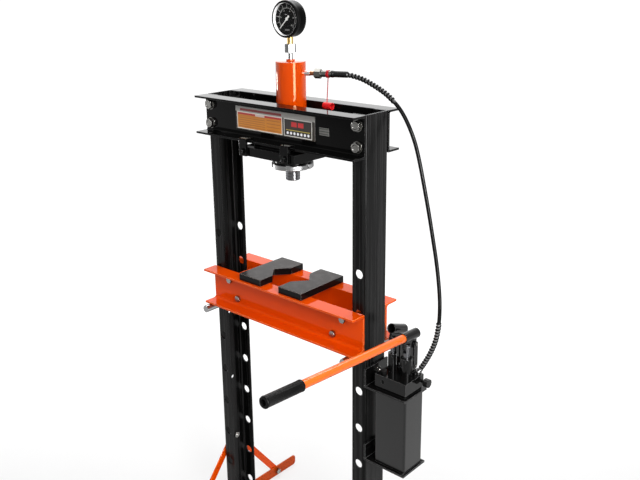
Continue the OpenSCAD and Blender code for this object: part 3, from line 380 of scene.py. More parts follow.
def field(left, low, wide, high):
    """1 inside a rectangle of the label, given in metres from its lower left corner."""
    x, z = label_x[0] + left, label_z[0] + low
    return (over_x > x) * (over_x < x + wide) * (over_z > z) * (over_z < z + high)


def rows_of(pitch):
    """1 on level lines across the label, a pitch apart."""
    row_low, row_thick = label_z[0] + 0.010, 0.0017
    return (over_z - row_low) % pitch < row_thick


grain = noise(spot, 180.0)
silver = tint(grain, (0.30, 0.29, 0.27, 1), (0.36, 0.35, 0.33, 1))
amber = tint(noise(spot, 45.0, detail=4.0), (0.57, 0.205, 0.009, 1), (0.48, 0.155, 0.006, 1))
left_rows = rows_of(0.0066) * field(0.015, 0.0095, 0.112, 0.034)
right_rows = rows_of(0.0099) * field(0.135, 0.0095, 0.056, 0.034)
left_block, right_block = (field(left, 0.033, 0.022, 0.014) for left in (0.236, 0.263))
dots_left, dot_pitch, dot_reach = 0.2145, 0.0137, 0.0042
dot_x = (over_x - (label_x[0] + dots_left)) % dot_pitch - dot_pitch / 2
dot_z = over_z - (label_z[0] + 0.0135)
dots = (dot_x * dot_x + dot_z * dot_z < dot_reach ** 2) * field(dots_left, 0.008, 7 * dot_pitch, 0.011)
print_layers = {
    "header": (field(0.0, 0.056, label_x[1] - label_x[0], 0.020), silver),
    "amber panel's rim": (field(0.006, 0.003, 0.194, 0.053), (0.72, 0.68, 0.60, 1)),
    "amber panel": (field(0.009, 0.006, 0.188, 0.047), amber),
    "rows": (left_rows * 0.55 + right_rows * 0.65, (0.16, 0.045, 0.012, 1)),
    "panel's red bar": (field(0.009, 0.047, 0.188, 0.006), (0.45, 0.02, 0.02, 1)),
    "pale part of the bar": (field(0.086, 0.047, 0.040, 0.006), (0.62, 0.50, 0.46, 1)),
    "header's bar": (field(0.020, 0.0590, 0.176, 0.0075), (0.22, 0.02, 0.02, 1)),
    "dark panel's rim": (field(0.206, 0.003, 0.112, 0.053), (0.66, 0.64, 0.60, 1)),
    "dark panel": (field(0.2085, 0.0055, 0.107, 0.048), (0.020, 0.014, 0.012, 1)),
    "red blocks": (left_block + right_block, (0.52, 0.02, 0.02, 1)),
    "yellow line": (field(0.215, 0.0215, 0.094, 0.0016), (0.62, 0.50, 0.06, 1)),
    "dots": (dots, (0.86, 0.88, 0.90, 1)),
}
shade = (0.020, 0.013, 0.008, 1)
for mask, colour in print_layers.values():
    shade = tint(mask, shade, colour)
surface(label_print, Base_Color=shade, Roughness=0.28 + grain * 0.14, Coat_Weight=0.15, Coat_Roughness=0.1)
fit(label, label_print, "frame")

tag_x, tag_z, tag_thick = (0.160, 0.196), (1.477, 1.499), 0.0006
tag = plate("head_tag", (tag_x[0], web_y - tag_thick, tag_z[0]), (tag_x[1], web_y, tag_z[1]))
tag_print, spot = finish("tag_print")
tag_lines = spot.axes()[2] % 0.0074 < 0.0022
tag_grey = tint(tag_lines, (0.12, 0.12, 0.11, 1), grey(0.02))
surface(tag_print, Base_Color=tag_grey, Roughness=0.35 + noise(spot, 90.0) * 0.2)
fit(tag, tag_print, "frame")


# Bolts, washers and nuts of the head and frame: forged hex heads with a turned chamfer, bright zinc
# plate with a faint yellow cast and fine scratches.
def zinc_plate(name, colour, cast, gloss):
    """Plated steel: colour drifts towards its cast in patches, with fine scratches."""
    made, place = finish(name)
    patch = noise(place, 55.0, detail=4.0)
    fine = noise(place, 900.0, detail=3.0, rough=0.7)
    return surface(
        made, Base_Color=tint(patch, colour, cast), Metallic=1.0, Roughness=gloss + fine * 0.18,
        Specular_Tint=grey(0.25), Normal=bumped(fine, 0.12, 0.0001, rounded(place, 0.0006)),
    )


zinc = zinc_plate("bright_zinc", (0.38, 0.38, 0.37, 1), (0.26, 0.25, 0.23, 1), gloss=0.10)


def hex_outline(flats, turn):
    """Distance from the axis to a hexagon's edge at each angle turn: half its flats over the cosine from
    the nearest flat's middle."""
    return flats / 2 / np.cos((turn + math.pi / 6) % (math.pi / 3) - math.pi / 6)


def bolt_points(seat, inward, flats, head, thick, shank):
    """A hex bolt as a grid of rings from the crown's middle to the shank's end. The head's upper corners
    are cut by a cone of 30 degrees, its crown is dished, and the shank's end has a short lead."""
    turn = np.linspace(0, 2 * math.pi, 36, endpoint=False)
    edge = hex_outline(flats, turn)
    zero = np.zeros_like(turn)
    crown, lead, dish = 0.475 * flats, 0.0015, 0.0012
    rings = [
        (zero, head - dish), (zero + 0.62 * crown, head - dish), (zero + 0.72 * crown, head),
        (zero + crown, head), (edge, head - (edge - crown) * math.tan(math.pi / 6)),
        (edge, 0.0), (zero + thick / 2, 0.0), (zero + thick / 2, lead - shank),
        (zero + thick / 2 - lead, -shank), (zero, -shank),
    ]
    axis = -np.array(inward, float)
    side = np.cross(axis, (0.0, 0.0, 1.0))
    other = np.cross(axis, side)
    return np.stack([
        np.array(seat) + np.outer(r * np.cos(turn), side) + np.outer(r * np.sin(turn), other)
        + np.outer(np.broadcast_to(h, turn.shape), axis) for r, h in rings
    ])


def bolt_set(name, body, node, bolts, made=zinc, slot="zinc"):
    """All bolts of one set as one piece in place of their CAD node: their grids side by side,
    unjoined."""
    grids = np.stack([bolt_points(*bolt) for bolt in bolts])
    index = np.arange(grids[..., 0].size).reshape(grids.shape[:3])
    both = np.concatenate((index, index[:, :, :1]), axis=2)
    quads = np.stack((both[:, :-1, :-1], both[:, 1:, :-1], both[:, 1:, 1:], both[:, :-1, 1:]), axis=-1)
    fit(closed_mesh(name, grids, quads.reshape(-1, 4).tolist(), crease=20), made, body, slot, node)


# A hex size is its flats, its head's height and its shank's thickness.
head_hex, frame_hex, claw_hex = (0.027, 0.011, 0.018), (0.019, 0.008, 0.012), (0.017, 0.007, 0.010)
head_seat, head_shank = 0.059, 0.031
head_bolts = [
    ((x, y * head_seat, z), (0, -y, 0), *head_hex, head_shank)
    for x in (-0.3, 0.3) for y in (-1, 1) for z in (1.52, 1.46)
]
bolt_set("head_bolt_set", "frame", "head_bolts", head_bolts)
# A side seat is its Y, its height, its distance from the middle and its shank's length.
foot_row = 0.02
side_seats = [(y, foot_row, 0.328, 0.022) for y in (-0.028, 0.028)]
side_seats += [(y, foot_row, 0.332, 0.021) for y in (-0.214, 0.214)]
side_seats += [(0.0, 0.29, 0.3321, 0.0261)]
side_bolts = [
    ((side * out, y, z), (-side, 0, 0), *frame_hex, shank)
    for side in (-1, 1) for y, z, out, shank in side_seats
]
bracket_seat, bracket_shank = 0.33, 0.024
bracket_bolts = [
    ((bracket_seat, 0.0, z), (-1, 0, 0), *frame_hex, bracket_shank) for z in (0.525, 0.779)
]
cross_seat, cross_row, cross_shank = 0.05, 0.022, 0.023
cross_bolts = [
    ((x, y * cross_seat, cross_row), (0, -y, 0), *frame_hex, cross_shank)
    for x in (-0.292, 0.292) for y in (-1, 1)
]
bolt_set("frame_bolt_set", "frame", "frame_bolts", side_bolts + bracket_bolts + cross_bolts)
dress(zinc, "head_nuts", "frame_nuts")

# Feet and braces: angle iron and flat bar, bolted to the uprights. The braces have the bed's gloss
# orange powder coat, and the feet a darker, duller copy of it, which is painted shade.
orange_cast = (1.0, 0.25, 0.06, 1)
orange_paint = powder_coat(
    "orange_powder_coat", (0.70, 0.060, 0.0003, 1), thin=(0.95, 0.36, 0.12, 1), gloss=0.015, wear=0.7,
    level=0.36, ease=0.0024, cast=orange_cast,
)
# A darker copy of the orange: painted shade on the feet.
shaded_foot_paint = powder_coat(
    "shaded_foot_orange", (0.46, 0.050, 0.0010, 1), thin=(0.80, 0.30, 0.10, 1), gloss=0.05, wear=0.5, level=0.25,
    cast=orange_cast,
)
dress(shaded_foot_paint, "left_foot", "right_foot")
dress(orange_paint, "left_braces", "right_braces")

# The ram's carriage: a thick black plate hung from the head's flanges by bent claws. Its bolts, painted
# with it, go in from the front and the back.
dress(frame_paint, "carriage_plate", "carriage_claws")
claw_seat, claw_row, claw_shank = 0.118, 1.4045, 0.029
claw_bolts = [
    ((x, y * claw_seat, claw_row), (0, -y, 0), *claw_hex, claw_shank)
    for x in (-0.095, 0.077) for y in (-1, 1)
]
bolt_set("claw_bolt_set", "frame", "claw_bolts", claw_bolts, frame_paint, "frame_paint")


# The cylinder: a drawn steel tube with a welded lid and a boss for the gauge, turned to an even round
# and painted orange, darker than the bed's orange as painted shade. Its neck goes down through the
# carriage plate.
def round_corners(profile, radius, closed):
    """A profile with its corners rounded: a quadratic curve leaves both sides of a corner at radius from
    it, or at 0.45 of a shorter side. The ends of an open profile stay."""
    p = np.array(profile, float)
    before, corner, after = (np.roll(p, k, axis=0) for k in (1, 0, -1))
    if not closed:
        before, corner, after = (a[1:-1] for a in (before, corner, after))
    leave, arrive = (
        corner + (to - corner) * np.minimum(radius / np.linalg.norm(to - corner, axis=1), 0.45)[:, None]
        for to in (before, after)
    )
    t = np.linspace(0, 1, 5)[None, :, None]
    curve = (1 - t) ** 2 * leave[:, None] + 2 * t * (1 - t) * corner[:, None] + t ** 2 * arrive[:, None]
    curve = curve.reshape(-1, 2)
    return curve if closed else np.vstack((p[:1], curve, p[-1:]))


def turned(name, profile, base, axis, closed=True, radius=0.0008, sides=96, flutes=(1, 0.0, 0.0, 0.0)):
    """A turned solid: each point of the rounded profile, distance from the axis by height along it, is
    carried round the axis. Flutes (count, share, low, high) draw the radius in by up to that share, as a
    cosine of the angle, between the two heights. An open profile starts and ends on the axis."""
    reach, height = round_corners(profile, radius, closed).T
    axis = np.array(axis, float) / np.linalg.norm(axis)
    side = np.cross(axis, (1.0, 0.0, 0.0) if abs(axis[0]) < 0.9 else (0.0, 1.0, 0.0))
    side /= np.linalg.norm(side)
    other = np.cross(axis, side)
    turn = np.linspace(0, 2 * math.pi, sides, endpoint=False)
    count, share, low, high = flutes
    drawn = share * ((height > low) & (height < high))[:, None] * (0.5 + 0.5 * np.cos(count * turn))
    round_axis = np.cos(turn)[:, None] * side + np.sin(turn)[:, None] * other
    outwards = (reach[:, None] * (1 - drawn))[..., None] * round_axis
    points = np.array(base) + height[:, None, None] * axis + outwards
    return grid_piece(name, points, wrap_rows=closed)


origin, up = (0, 0, 0), (0, 0, 1)
bore, neck, barrel, boss, thread, oil_way = 0.035, 0.042, 0.045, 0.013, 0.0068, 0.0034
neck_foot, shoulder, lid_under, thread_foot, lid_top, boss_top = 1.350, 1.418, 1.655, 1.665, 1.669, 1.675
cylinder_profile = [
    (bore, neck_foot), (neck, neck_foot), (neck, shoulder), (barrel, shoulder), (barrel, lid_top),
    (boss, lid_top), (boss, boss_top), (thread, boss_top), (thread, thread_foot), (oil_way, thread_foot),
    (oil_way, lid_under), (bore, lid_under),
]
cylinder = turned("press_cylinder", cylinder_profile, origin, up, radius=0.0016, sides=128)
# A darker copy of the orange paint: painted shade.
shaded_cylinder_paint = powder_coat(
    "shaded_cylinder_orange", (0.53, 0.046, 0.0002, 1), thin=(0.80, 0.22, 0.05, 1), gloss=0.01, wear=0.3,
    level=0.50, cast=(1.0, 0.66, 0.40, 1),
)
fit(cylinder, shaded_cylinder_paint, "frame", "orange_paint", "cylinder_body")


# The ram and its lock ring: ground and hard-chromed steel, with three shallow grooves round the ram's
# end. The ring is turned and screwed on below the carriage plate, so its marks run round the axis.
def turned_chrome(name, colour, gloss, marks):
    """Polished steel with turning marks: rings of noise along Z, that many to the metre."""
    made, place = finish(name)
    mark = noise(stretched(place, (6.0, 6.0, marks)), 1.0, detail=3.0, rough=0.6)
    smear = noise(place, 30.0, detail=3.0)
    return surface(
        made, Base_Color=tint(smear, colour, shaded(colour, 0.88)), Metallic=1.0,
        Specular_Tint=grey(0.25), Roughness=gloss + mark * 0.10 + smear * 0.06,
        Normal=bumped(mark, 0.10, 0.00008, rounded(place, 0.0006)),
    )


chrome = turned_chrome("ground_chrome", (0.22, 0.22, 0.23, 1), gloss=0.12, marks=700.0)
rod, piston, seal_seat = 0.022, 0.03495, 0.030
nose, nose_lead = 1.310, 0.002
piston_foot, seal_foot, seal_top, piston_top = 1.600, 1.611, 1.619, 1.630
groove_deep, groove_wide = 0.001, 0.003
groove_corners = np.array([
    (0.0, 0.0), (-groove_deep, 0.0), (-groove_deep, groove_wide), (0.0, groove_wide),
])
grooves = [tuple(corner + (rod, z)) for z in (1.3154, 1.3244, 1.3334) for corner in groove_corners]
ram_profile = [(0.0, nose), (rod - nose_lead, nose), (rod, nose + nose_lead)] + grooves + [
    (rod, piston_foot), (piston, piston_foot), (piston, seal_foot), (seal_seat, seal_foot),
    (seal_seat, seal_top), (piston, seal_top), (piston, piston_top), (0.0, piston_top),
]
ram_rod = turned("ram_rod", ram_profile, origin, up, closed=False, radius=0.0004)
fit(ram_rod, chrome, "ram_body", "chrome", "ram")
dress(turned_chrome("turned_ring", grey(0.42), gloss=0.26, marks=300.0), "lock_ring")


# Inside the cylinder: a bronze gland pressed into the neck, the piston's rubber seal in its groove, and
# the wound steel coil round the rod that lifts the ram again.
def brass_finish(name, colour, aged):
    """Turned brass or bronze, browner where the noise is high."""
    made, place = finish(name)
    stain = noise(place, 70.0, detail=4.0)
    return surface(
        made, Base_Color=tint(stain, colour, aged), Metallic=1.0, Roughness=0.22 + stain * 0.2,
        Normal=rounded(place, 0.0006),
    )


brass = brass_finish("turned_brass", (0.78, 0.55, 0.20, 1), (0.55, 0.34, 0.10, 1))
dress(brass, "gland_bush", "gauge_stem")


def moulded(name, colour, grain, depth, gloss, level=0.2):
    """Moulded rubber or plastic: a fine grain, a little grey bloom."""
    made, place = finish(name)
    bloom = noise(place, 40.0, detail=3.0)
    pores = noise(place, grain)
    return surface(
        made, Base_Color=tint(bloom, colour, shaded(colour, 1.7)), Roughness=gloss + bloom * 0.2,
        Specular_IOR_Level=level, Normal=bumped(pores, 0.3, depth, rounded(place, 0.0008)),
    )


dress(moulded("black_rubber", grey(0.012), grain=700.0, depth=0.0002, gloss=0.40), "piston_seal")


def tube_points(path, radius, sides, hint):
    """Rings of points round a path: at each point the ring lies square to the path's own direction,
    turned so that one axis is square to hint."""
    along = np.gradient(path, axis=0)
    along /= np.linalg.norm(along, axis=1, keepdims=True)
    side = np.cross(along, hint)
    side /= np.linalg.norm(side, axis=1, keepdims=True)
    other = np.cross(along, side)
    turn = np.linspace(0, 2 * math.pi, sides, endpoint=False)
    return path[:, None] + radius * (
        np.cos(turn)[None, :, None] * side[:, None] + np.sin(turn)[None, :, None] * other[:, None]
    )


spring_low, spring_high, spring_turns, spring_reach, spring_wire = 1.3809, 1.5971, 9, 0.0285, 0.0025
spring_turn = np.linspace(0, spring_turns * 2 * math.pi, spring_turns * 40 + 1)
climb = spring_low + (spring_high - spring_low) * spring_turn / spring_turn[-1]
coil = np.stack((spring_reach * np.cos(spring_turn), spring_reach * np.sin(spring_turn), climb), axis=-1)
spring = grid_piece("return_coil", tube_points(coil, spring_wire, 12, (0.0, 0.0, 1.0)), cap_rows=True)
fit(spring, zinc, "frame", "zinc", "return_spring")
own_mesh(spring)

# The gauge: a black pressed case and a rolled bezel whose inner lip is painted white as a painted
# reflection, a printed dial under a flat lens, a white needle, and a nipple, hex coupling and brass stem
# that screw it to the cylinder's lid.
steel = turned_chrome("bright_steel", (0.40, 0.40, 0.40, 1), gloss=0.06, marks=300.0)
dress(steel, "gauge_nipple", "gauge_coupling")
gauge_z, case_back, dial_y, towards = 1.7905, 0.018, -0.011, (0, -1, 0)
gauge_paint = powder_coat("gauge_black", grey(0.002), thin=grey(0.05), gloss=0.28, wear=0.2, level=0.03)
case_profile = [
    (0.0, 0.0), (0.046, 0.0), (0.0478, 0.0003), (0.0495, 0.0010), (0.0510, 0.0025), (0.0517, 0.0042),
    (0.052, 0.006), (0.052, 0.029), (0.0461, 0.029), (0.0461, 0.028), (0.0, 0.028),
]
case = turned("gauge_shell", case_profile, (0, case_back, gauge_z), towards, closed=False, radius=0.0006)
fit(case, gauge_paint, "frame", "gauge_black", "gauge_case")


def polar(place):
    """Distance from the gauge's axis, and the angle past the scale's zero at the lower left, clockwise,
    in degrees."""
    x, height = place.axes()[::2]
    z = height - gauge_z
    squared = x * x + z * z
    return squared.maths("SQRT", squared), (225 - x.maths("ARCTAN2", z, x) * (180 / math.pi)) % 360


bezel_finish, spot = finish("bezel_finish")
# The bezel's inner lip is painted near-white: a painted reflection.
painted_lip_reflection = polar(spot)[0] < 0.0466
surface(
    bezel_finish, Base_Color=tint(painted_lip_reflection, grey(0.003), grey(0.9)), Specular_IOR_Level=0.05,
    Roughness=0.32 + noise(spot, 200.0) * 0.08,
)
bezel_profile = [
    (0.046, 0.0), (0.0535, 0.0), (0.0535, 0.007), (0.0530, 0.0090), (0.0518, 0.0103), (0.0495, 0.011),
    (0.046, 0.011),
]
bezel = turned("gauge_rim", bezel_profile, (0, dial_y, gauge_z), towards, radius=0.0009)
fit(bezel, bezel_finish, "frame", "gauge_black", "gauge_bezel")

dial_print, spot = finish("dial_print")
reach, past_zero = polar(spot)
over_x, over_z = spot.axes()[::2]


def spokes(step, half_wide):
    """1 within half_wide of each line out from the axis whose angle past zero is a whole number of
    steps."""
    return abs((past_zero + step / 2) % step - step / 2) * reach * (math.pi / 180) < half_wide


def ring(low, high):
    """1 between two distances from the axis."""
    return (reach > low) * (reach < high)


def dash(x, rise, half_wide, half_high):
    """1 inside a rectangle about a point of the dial, given from the gauge's axis."""
    return (abs(over_x - x) < half_wide) * (abs(over_z - (gauge_z + rise)) < half_high)


long_step, short_step, sweep = 27, 5.4, 270.6
scale_arc = ring(0.0303, 0.0310) * 0.6
long_marks = spokes(long_step, 0.00065) * ring(0.0309, 0.0435) * 0.5
short_marks = spokes(short_step, 0.0003) * ring(0.0309, 0.0340) * 0.4
marks = (past_zero < sweep) * (scale_arc + long_marks + short_marks)
bars = dash(0.0, -0.031, 0.009, 0.0022) * 0.35 + dash(-0.004, 0.0125, 0.0045, 0.0008)
dial_shade = tint(bars, tint(marks, grey(0.004), (0.80, 0.80, 0.78, 1)), grey(0.5))
surface(dial_print, Base_Color=dial_shade, Roughness=0.5 + noise(spot, 400.0) * 0.1, Specular_IOR_Level=0.1)
dress(dial_print, "gauge_dial")

figures_at = np.radians(225 - 2 * long_step * np.arange(6))
figure_reach, figure_high, figure_thick = 0.0250, 0.0068, 0.0001
figure_points, figure_faces, held = [], [], 0
for figure, at in zip(("0", "2", "4", "6", "8", "10"), figures_at):
    lettering = bpy.data.curves.new("figure", "FONT")
    lettering.body = figure
    lettering.size = figure_high
    lettering.extrude = figure_thick / 2
    lettering.align_x, lettering.align_y = "CENTER", "CENTER"
    lettered = bpy.data.objects.new("figure", lettering)
    bpy.context.scene.collection.objects.link(lettered)
    bpy.context.view_layer.update()
    flat = bpy.data.meshes.new_from_object(lettered.evaluated_get(bpy.context.evaluated_depsgraph_get()))
    corners = np.zeros(len(flat.vertices) * 3)
    flat.vertices.foreach_get("co", corners)
    x, z, y = corners.reshape(-1, 3).T
    figure_points.append(np.stack((
        x + figure_reach * math.cos(at), dial_y - figure_thick / 2 - y,
        z + figure_reach * math.sin(at) + gauge_z,
    ), axis=-1))
    face_corners = np.zeros(len(flat.loops), np.int32)
    flat.loops.foreach_get("vertex_index", face_corners)
    face_starts = np.zeros(len(flat.polygons), np.int32)
    flat.polygons.foreach_get("loop_start", face_starts)
    figure_faces += [face.tolist() for face in np.split(face_corners + held, face_starts[1:])]
    held += len(flat.vertices)
    bpy.data.objects.remove(lettered)
    bpy.data.meshes.remove(flat)
figures = closed_mesh("dial_figures", np.concatenate(figure_points), figure_faces)
figure_ink, spot = finish("dial_ink")
ink_white = tint(noise(spot, 600.0), (0.56, 0.56, 0.54, 1), (0.48, 0.48, 0.46, 1))
fit(figures, surface(figure_ink, Base_Color=ink_white, Roughness=0.5), "frame", "needle_white")

needle_paint, spot = finish("needle_paint")
needle_white = tint(noise(spot, 300.0), (0.84, 0.84, 0.82, 1), (0.76, 0.76, 0.74, 1))
dress(surface(needle_paint, Base_Color=needle_white, Roughness=0.4), "gauge_needle")
lens, spot = finish("flat_lens")
surface(lens, Base_Color=grey(0.0), Roughness=0.02 + noise(spot, 120.0) * 0.02, Alpha=0.06, IOR=1.5)
dress(lens, "gauge_lens")

# The hose port: a white-metal nipple and copper-coloured sleeve screwed into the cylinder's side, a
# plated quick coupler, and a soft red dust cap on its strap.
port_z, port_turn, sleeve_from = 1.6355, math.radians(20), 0.062
port_way = np.array((math.cos(port_turn), math.sin(port_turn), 0.0))
copper, spot = finish("copper_sleeve")
over_x, over_y = spot.axes()[:2]
sleeve = over_x * math.cos(port_turn) + over_y * math.sin(port_turn) > sleeve_from
surface(
    copper, Base_Color=tint(sleeve, (0.80, 0.80, 0.79, 1), (0.42, 0.17, 0.08, 1)), Metallic=1.0,
    Roughness=0.22 + noise(spot, 300.0, detail=3.0) * 0.15, Normal=rounded(spot, 0.0006),
)
dress(copper, "hose_port_nipple")
dress(zinc_plate("coupler_zinc", (0.26, 0.26, 0.25, 1), (0.16, 0.15, 0.13, 1), gloss=0.20), "quick_coupler")
cap_red, spot = finish("soft_red_plastic")
haze = noise(spot, 80.0, detail=3.0)
cap_high = 0.032
strap = spot.axes()[2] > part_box("dust_cap")[0][2] + cap_high
cap_shade = tint(haze, (0.62, 0.010, 0.012, 1), (0.50, 0.008, 0.010, 1))
surface(
    cap_red, Base_Color=tint(strap, cap_shade, (0.30, 0.004, 0.008, 1)), Roughness=0.30 + haze * 0.15,
    Specular_IOR_Level=0.25, Subsurface_Weight=0.05, Normal=rounded(spot, 0.0012),
)
dress(cap_red, "dust_cap")

# The hose: rubber-covered wire braid, crimped at both ends, that hangs in one long curve from the
# coupler to the pump. A blacked flat-wire spring guards the bend at each end, where the braid is left
# bare under it.
route = np.array([
    (0.170085, 0.061906, port_z), (0.208, 0.074, 1.626), (0.247, 0.082, 1.609), (0.285, 0.085, 1.590),
    (0.317, 0.084, 1.569), (0.345, 0.083, 1.543), (0.371, 0.082, 1.506), (0.394, 0.081, 1.460),
    (0.413, 0.079, 1.405), (0.432, 0.076, 1.340), (0.452, 0.072, 1.270), (0.472, 0.066, 1.200),
    (0.490, 0.060, 1.135), (0.503, 0.055, 1.075), (0.511, 0.051, 1.020), (0.513, 0.047, 0.965),
    (0.507, 0.043, 0.912), (0.495, 0.038, 0.872), (0.480, 0.032, 0.837), (0.467, 0.028, 0.812517),
])
upper_guard_end, lower_guard_start = 4, 15


def smooth_path(points, steps):
    """The curve through the points: on each stretch from b to c, with neighbours a and d, the cubic b +
    (c-a)t/2 + (2a-5b+4c-d)t2/2 + (3b-3c+d-a)t3/2."""
    padded = np.vstack((points[:1], points, points[-1:]))
    a, b, c, d = (padded[i:len(padded) - 3 + i, None] for i in range(4))
    t = np.linspace(0, 1, steps, endpoint=False)[None, :, None]
    bend, twist = 2 * a - 5 * b + 4 * c - d, 3 * b - 3 * c + d - a
    path = b + (c - a) * t / 2 + bend * t ** 2 / 2 + twist * t ** 3 / 2
    return np.vstack((path.reshape(-1, 3), points[-1:]))


steps, hose_radius = 8, 0.00575
hose_path = smooth_path(route, steps)
hose = grid_piece("pressure_hose", tube_points(hose_path, hose_radius, 24, (0.0, 1.0, 0.0)), cap_rows=True)
hose_cover, spot = finish("hose_cover")
weave = noise(spot, 800.0)
bloom = noise(spot, 18.0, detail=3.0)
height = spot.axes()[2]
bare = (height < route[lower_guard_start, 2]) + (height > route[upper_guard_end, 2]) * 0.3
cover = tint(bloom, grey(0.004), grey(0.008))
surface(
    hose_cover, Base_Color=tint(bare, cover, grey(0.30)), Roughness=0.07 + bloom * 0.08 + bare * 0.20,
    Metallic=bare * 0.8, Specular_IOR_Level=0.1, Normal=bumped(weave, 0.15, 0.0001, rounded(spot, 0.0005)),
)
fit(hose, hose_cover, "frame", "black_rubber", "hose")


def guard_coil(name, path, ends, lead):
    """A flat wire wound round the path: its centre line is the path plus 7 mm at an angle that grows
    with the length along it, one turn to each lead, and its section is an ellipse, 2.5 mm deep and 0.56
    of the lead wide."""
    wire_reach, half_deep, half_wide = 0.0070, 0.00125, 0.28 * lead
    lengths = np.concatenate(([0.0], np.cumsum(np.linalg.norm(np.diff(path, axis=0), axis=1))))
    run = np.linspace(ends[0], lengths[-1] - ends[1], int(20 * (lengths[-1] - sum(ends)) / lead))
    centre = np.stack([np.interp(run, lengths, path[:, k]) for k in range(3)], axis=-1)
    along = np.gradient(centre, axis=0)
    along /= np.linalg.norm(along, axis=1, keepdims=True)
    side = np.cross(along, (0.0, 1.0, 0.0))
    side /= np.linalg.norm(side, axis=1, keepdims=True)
    angle = (2 * math.pi * run / lead)[:, None]
    outwards = np.cos(angle) * side + np.sin(angle) * np.cross(along, side)
    turn = np.linspace(0, 2 * math.pi, 10, endpoint=False)[None, :, None]
    from_path = wire_reach + half_deep * np.cos(turn)
    points = centre[:, None] + from_path * outwards[:, None] + half_wide * np.sin(turn) * along[:, None]
    return grid_piece(name, points, cap_rows=True)


guard_wire = moulded("blacked_wire", grey(0.002), grain=900.0, depth=0.0001, gloss=0.25, level=0.10)
upper_guard = guard_coil("upper_guard", hose_path[:upper_guard_end * steps + 1], (0.001, 0.0), lead=0.0105)
lower_guard = guard_coil("lower_guard", hose_path[lower_guard_start * steps:], (0.0, 0.001), lead=0.0095)
fit(upper_guard, guard_wire, "frame", "black_rubber", "spring_guards")
fit(lower_guard, guard_wire, "frame", "black_rubber")

ferrule_from, neck_from = 0.128, 0.018
ferrule_steel = zinc_plate("blacked_ferrule", grey(0.045), grey(0.03), gloss=0.20)
ferrule_profile = [
    (0.0, 0.0), (0.010, 0.0), (0.010, 0.006), (0.009, 0.009), (0.009, 0.050), (0.007, 0.053), (0.0, 0.053),
]
upper_ferrule = turned(
    "upper_ferrule", ferrule_profile, port_way * ferrule_from + (0, 0, port_z), port_way, closed=False,
    flutes=(8, 0.06, 0.010, 0.049),
)
fit(upper_ferrule, ferrule_steel, "frame", "pump_paint", "hose_ferrules")
fitting_foot = np.array((0.454, 0.028, 0.790))
fitting_way = np.array((0.5, 0.0, math.cos(math.radians(30))))
neck_profile = [(0.0, 0.0), (0.0065, 0.0), (0.0065, 0.008), (0.0, 0.008)]
lower_ferrule = turned(
    "lower_ferrule", neck_profile, fitting_foot + neck_from * fitting_way, fitting_way, closed=False,
)
fit(lower_ferrule, steel, "frame", "chrome")
dress(steel, "hose_end_fitting")

# The bed: two orange channels back to back, held apart by tubes on long bolts, with a pair of cast
# V-blocks on top. The blocks' black paint is a little lighter and browner on their upper faces, with
# scuffed bare patches there, and a light grey along their edges that is partly rubbed paint and partly
# a painted highlight.
dress(orange_paint, "bed_front_channel", "bed_rear_channel", "bed_spacers")
dress(zinc, "bed_bolts")
block_top, face_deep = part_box("left_v_block")[1][2], 0.0008
block_finish, spot = finish("rubbed_and_lit_block")
face = spot.axes()[2] > block_top - face_deep
scuff = noise(spot, 55.0, detail=5.0, rough=0.65)
bare = face * (scuff > 0.55)
cast = noise(spot, 260.0, detail=3.0)
block_eased = rounded(spot, 0.0018)
block_black = tint(face, grey(0.003), (0.018, 0.014, 0.013, 1))
block_black = tint(bare, block_black, (0.034, 0.029, 0.028, 1))
# A painted highlight along the blocks' edges, laid over rubbed paint.
block_black = tint(worn_and_lit_edge(spot, block_eased) * 0.6, block_black, (0.30, 0.26, 0.24, 1))
surface(
    block_finish, Base_Color=block_black, Specular_IOR_Level=0.12, Metallic=bare * 0.2,
    Roughness=0.14 + cast * 0.16, Normal=bumped(cast, 0.25, 0.0003, block_eased),
)
dress(block_finish, "left_v_block", "right_v_block")

# The support pins: plain bars of bright drawn steel, cut to length. They are pushed through one row of
# the uprights' holes, and the bed rests on them.
dress(steel, "support_pins")

# The pump's steelwork: a folded and welded tank in satin dark grey, brackets, block and barrels in gloss
# black, dull black plugs, and ground plungers. The brackets are bolted to the right upright.
# The tank's edges go a light grey: rubbed paint, and a painted highlight along its folds.
tank_paint = powder_coat(
    "satin_grey", grey(0.003), thin=grey(0.24), gloss=0.20, wear=0.7, level=0.54, ease=0.003,
)
dress(tank_paint, "oil_tank")
block_paint = powder_coat("pump_black", grey(0.003), thin=grey(0.16), gloss=0.05, wear=0.6, level=0.28)
dress(block_paint, "pump_upper_bracket", "pump_lower_bracket", "pump_block", "pump_barrels")
dress(guard_wire, "block_plugs")
dress(zinc, "lever_pins")
plunger_steel = turned_chrome("plunger_steel", (0.18, 0.18, 0.19, 1), gloss=0.20, marks=500.0)
dress(plunger_steel, "suction_tube", "left_plunger", "right_plunger")

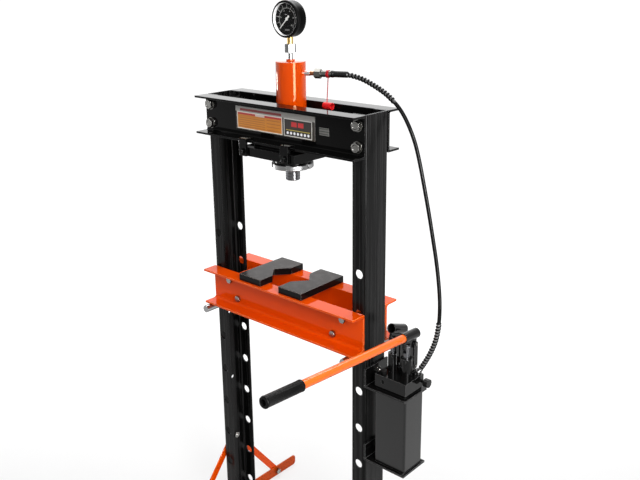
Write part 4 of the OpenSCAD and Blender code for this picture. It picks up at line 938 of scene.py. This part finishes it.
# The pump's levers: two sockets on links, one empty and one with the handle, a painted steel tube with a
# fluted plastic grip pushed over its end.
dress(block_paint, "left_lever_socket", "right_lever_socket", "lever_links")
lever_tilt, fulcrum = math.radians(4.2), np.array((0.434, 0.037, 0.880))
handle_way = np.array((0.0, -math.cos(lever_tilt), math.sin(lever_tilt)))
handle_rise = np.array((0.0, math.sin(lever_tilt), math.cos(lever_tilt)))
handle_back, handle_above = 0.005, 0.030
handle_foot = fulcrum - handle_back * handle_way + handle_above * handle_rise
handle_long, grip_long, grip_wall = 0.615, 0.132, 0.0039
tube_bore, tube_reach = 0.0095, 0.012
handle_paint = powder_coat(
    "handle_paint", (0.76, 0.118, 0.006, 1), thin=(0.86, 0.40, 0.20, 1), gloss=0.08, wear=0.3, level=0.50,
)
tube_profile = [(tube_bore, 0.0), (tube_reach, 0.0), (tube_reach, handle_long), (tube_bore, handle_long)]
handle = turned("handle_bar", tube_profile, handle_foot, handle_way)
fit(handle, handle_paint, "right_lever", "handle_paint", "handle_tube")
grip_bead, grip_body, grip_lip, grip_bore = 0.016, 0.0155, 0.0142, 0.01215
plug, well, plug_deep, well_deep = 0.0094, 0.0086, 0.014, 0.0125
grip_profile = [
    (0.0, grip_long - plug_deep), (plug, grip_long - plug_deep), (plug, grip_long - grip_wall),
    (grip_bore, grip_long - grip_wall), (grip_bore, 0.0), (grip_lip, 0.0), (grip_bead, 0.002),
    (grip_bead, 0.006), (grip_body, 0.008), (grip_body, grip_long - 0.008), (grip_bead, grip_long - 0.006),
    (grip_bead, grip_long - 0.002), (grip_lip, grip_long), (well, grip_long),
    (well, grip_long - well_deep), (0.0, grip_long - well_deep),
]
grip_foot = handle_foot + (handle_long + grip_wall - grip_long) * handle_way
grip = turned(
    "fluted_grip", grip_profile, grip_foot, handle_way, closed=False, sides=120,
    flutes=(24, 0.03, 0.0085, grip_long - 0.0085),
)
grip_black = moulded("moulded_grip", grey(0.003), grain=1200.0, depth=0.0001, gloss=0.16, level=0.10)
fit(grip, grip_black, "right_lever", "black_rubber", "handle_grip")

# The release valve's knob: black plastic, moulded with flutes for the fingers. It is pressed on the
# valve's stem at the pump block's side.
dress(moulded("moulded_black", grey(0.004), grain=1200.0, depth=0.0001, gloss=0.18), "release_knob")
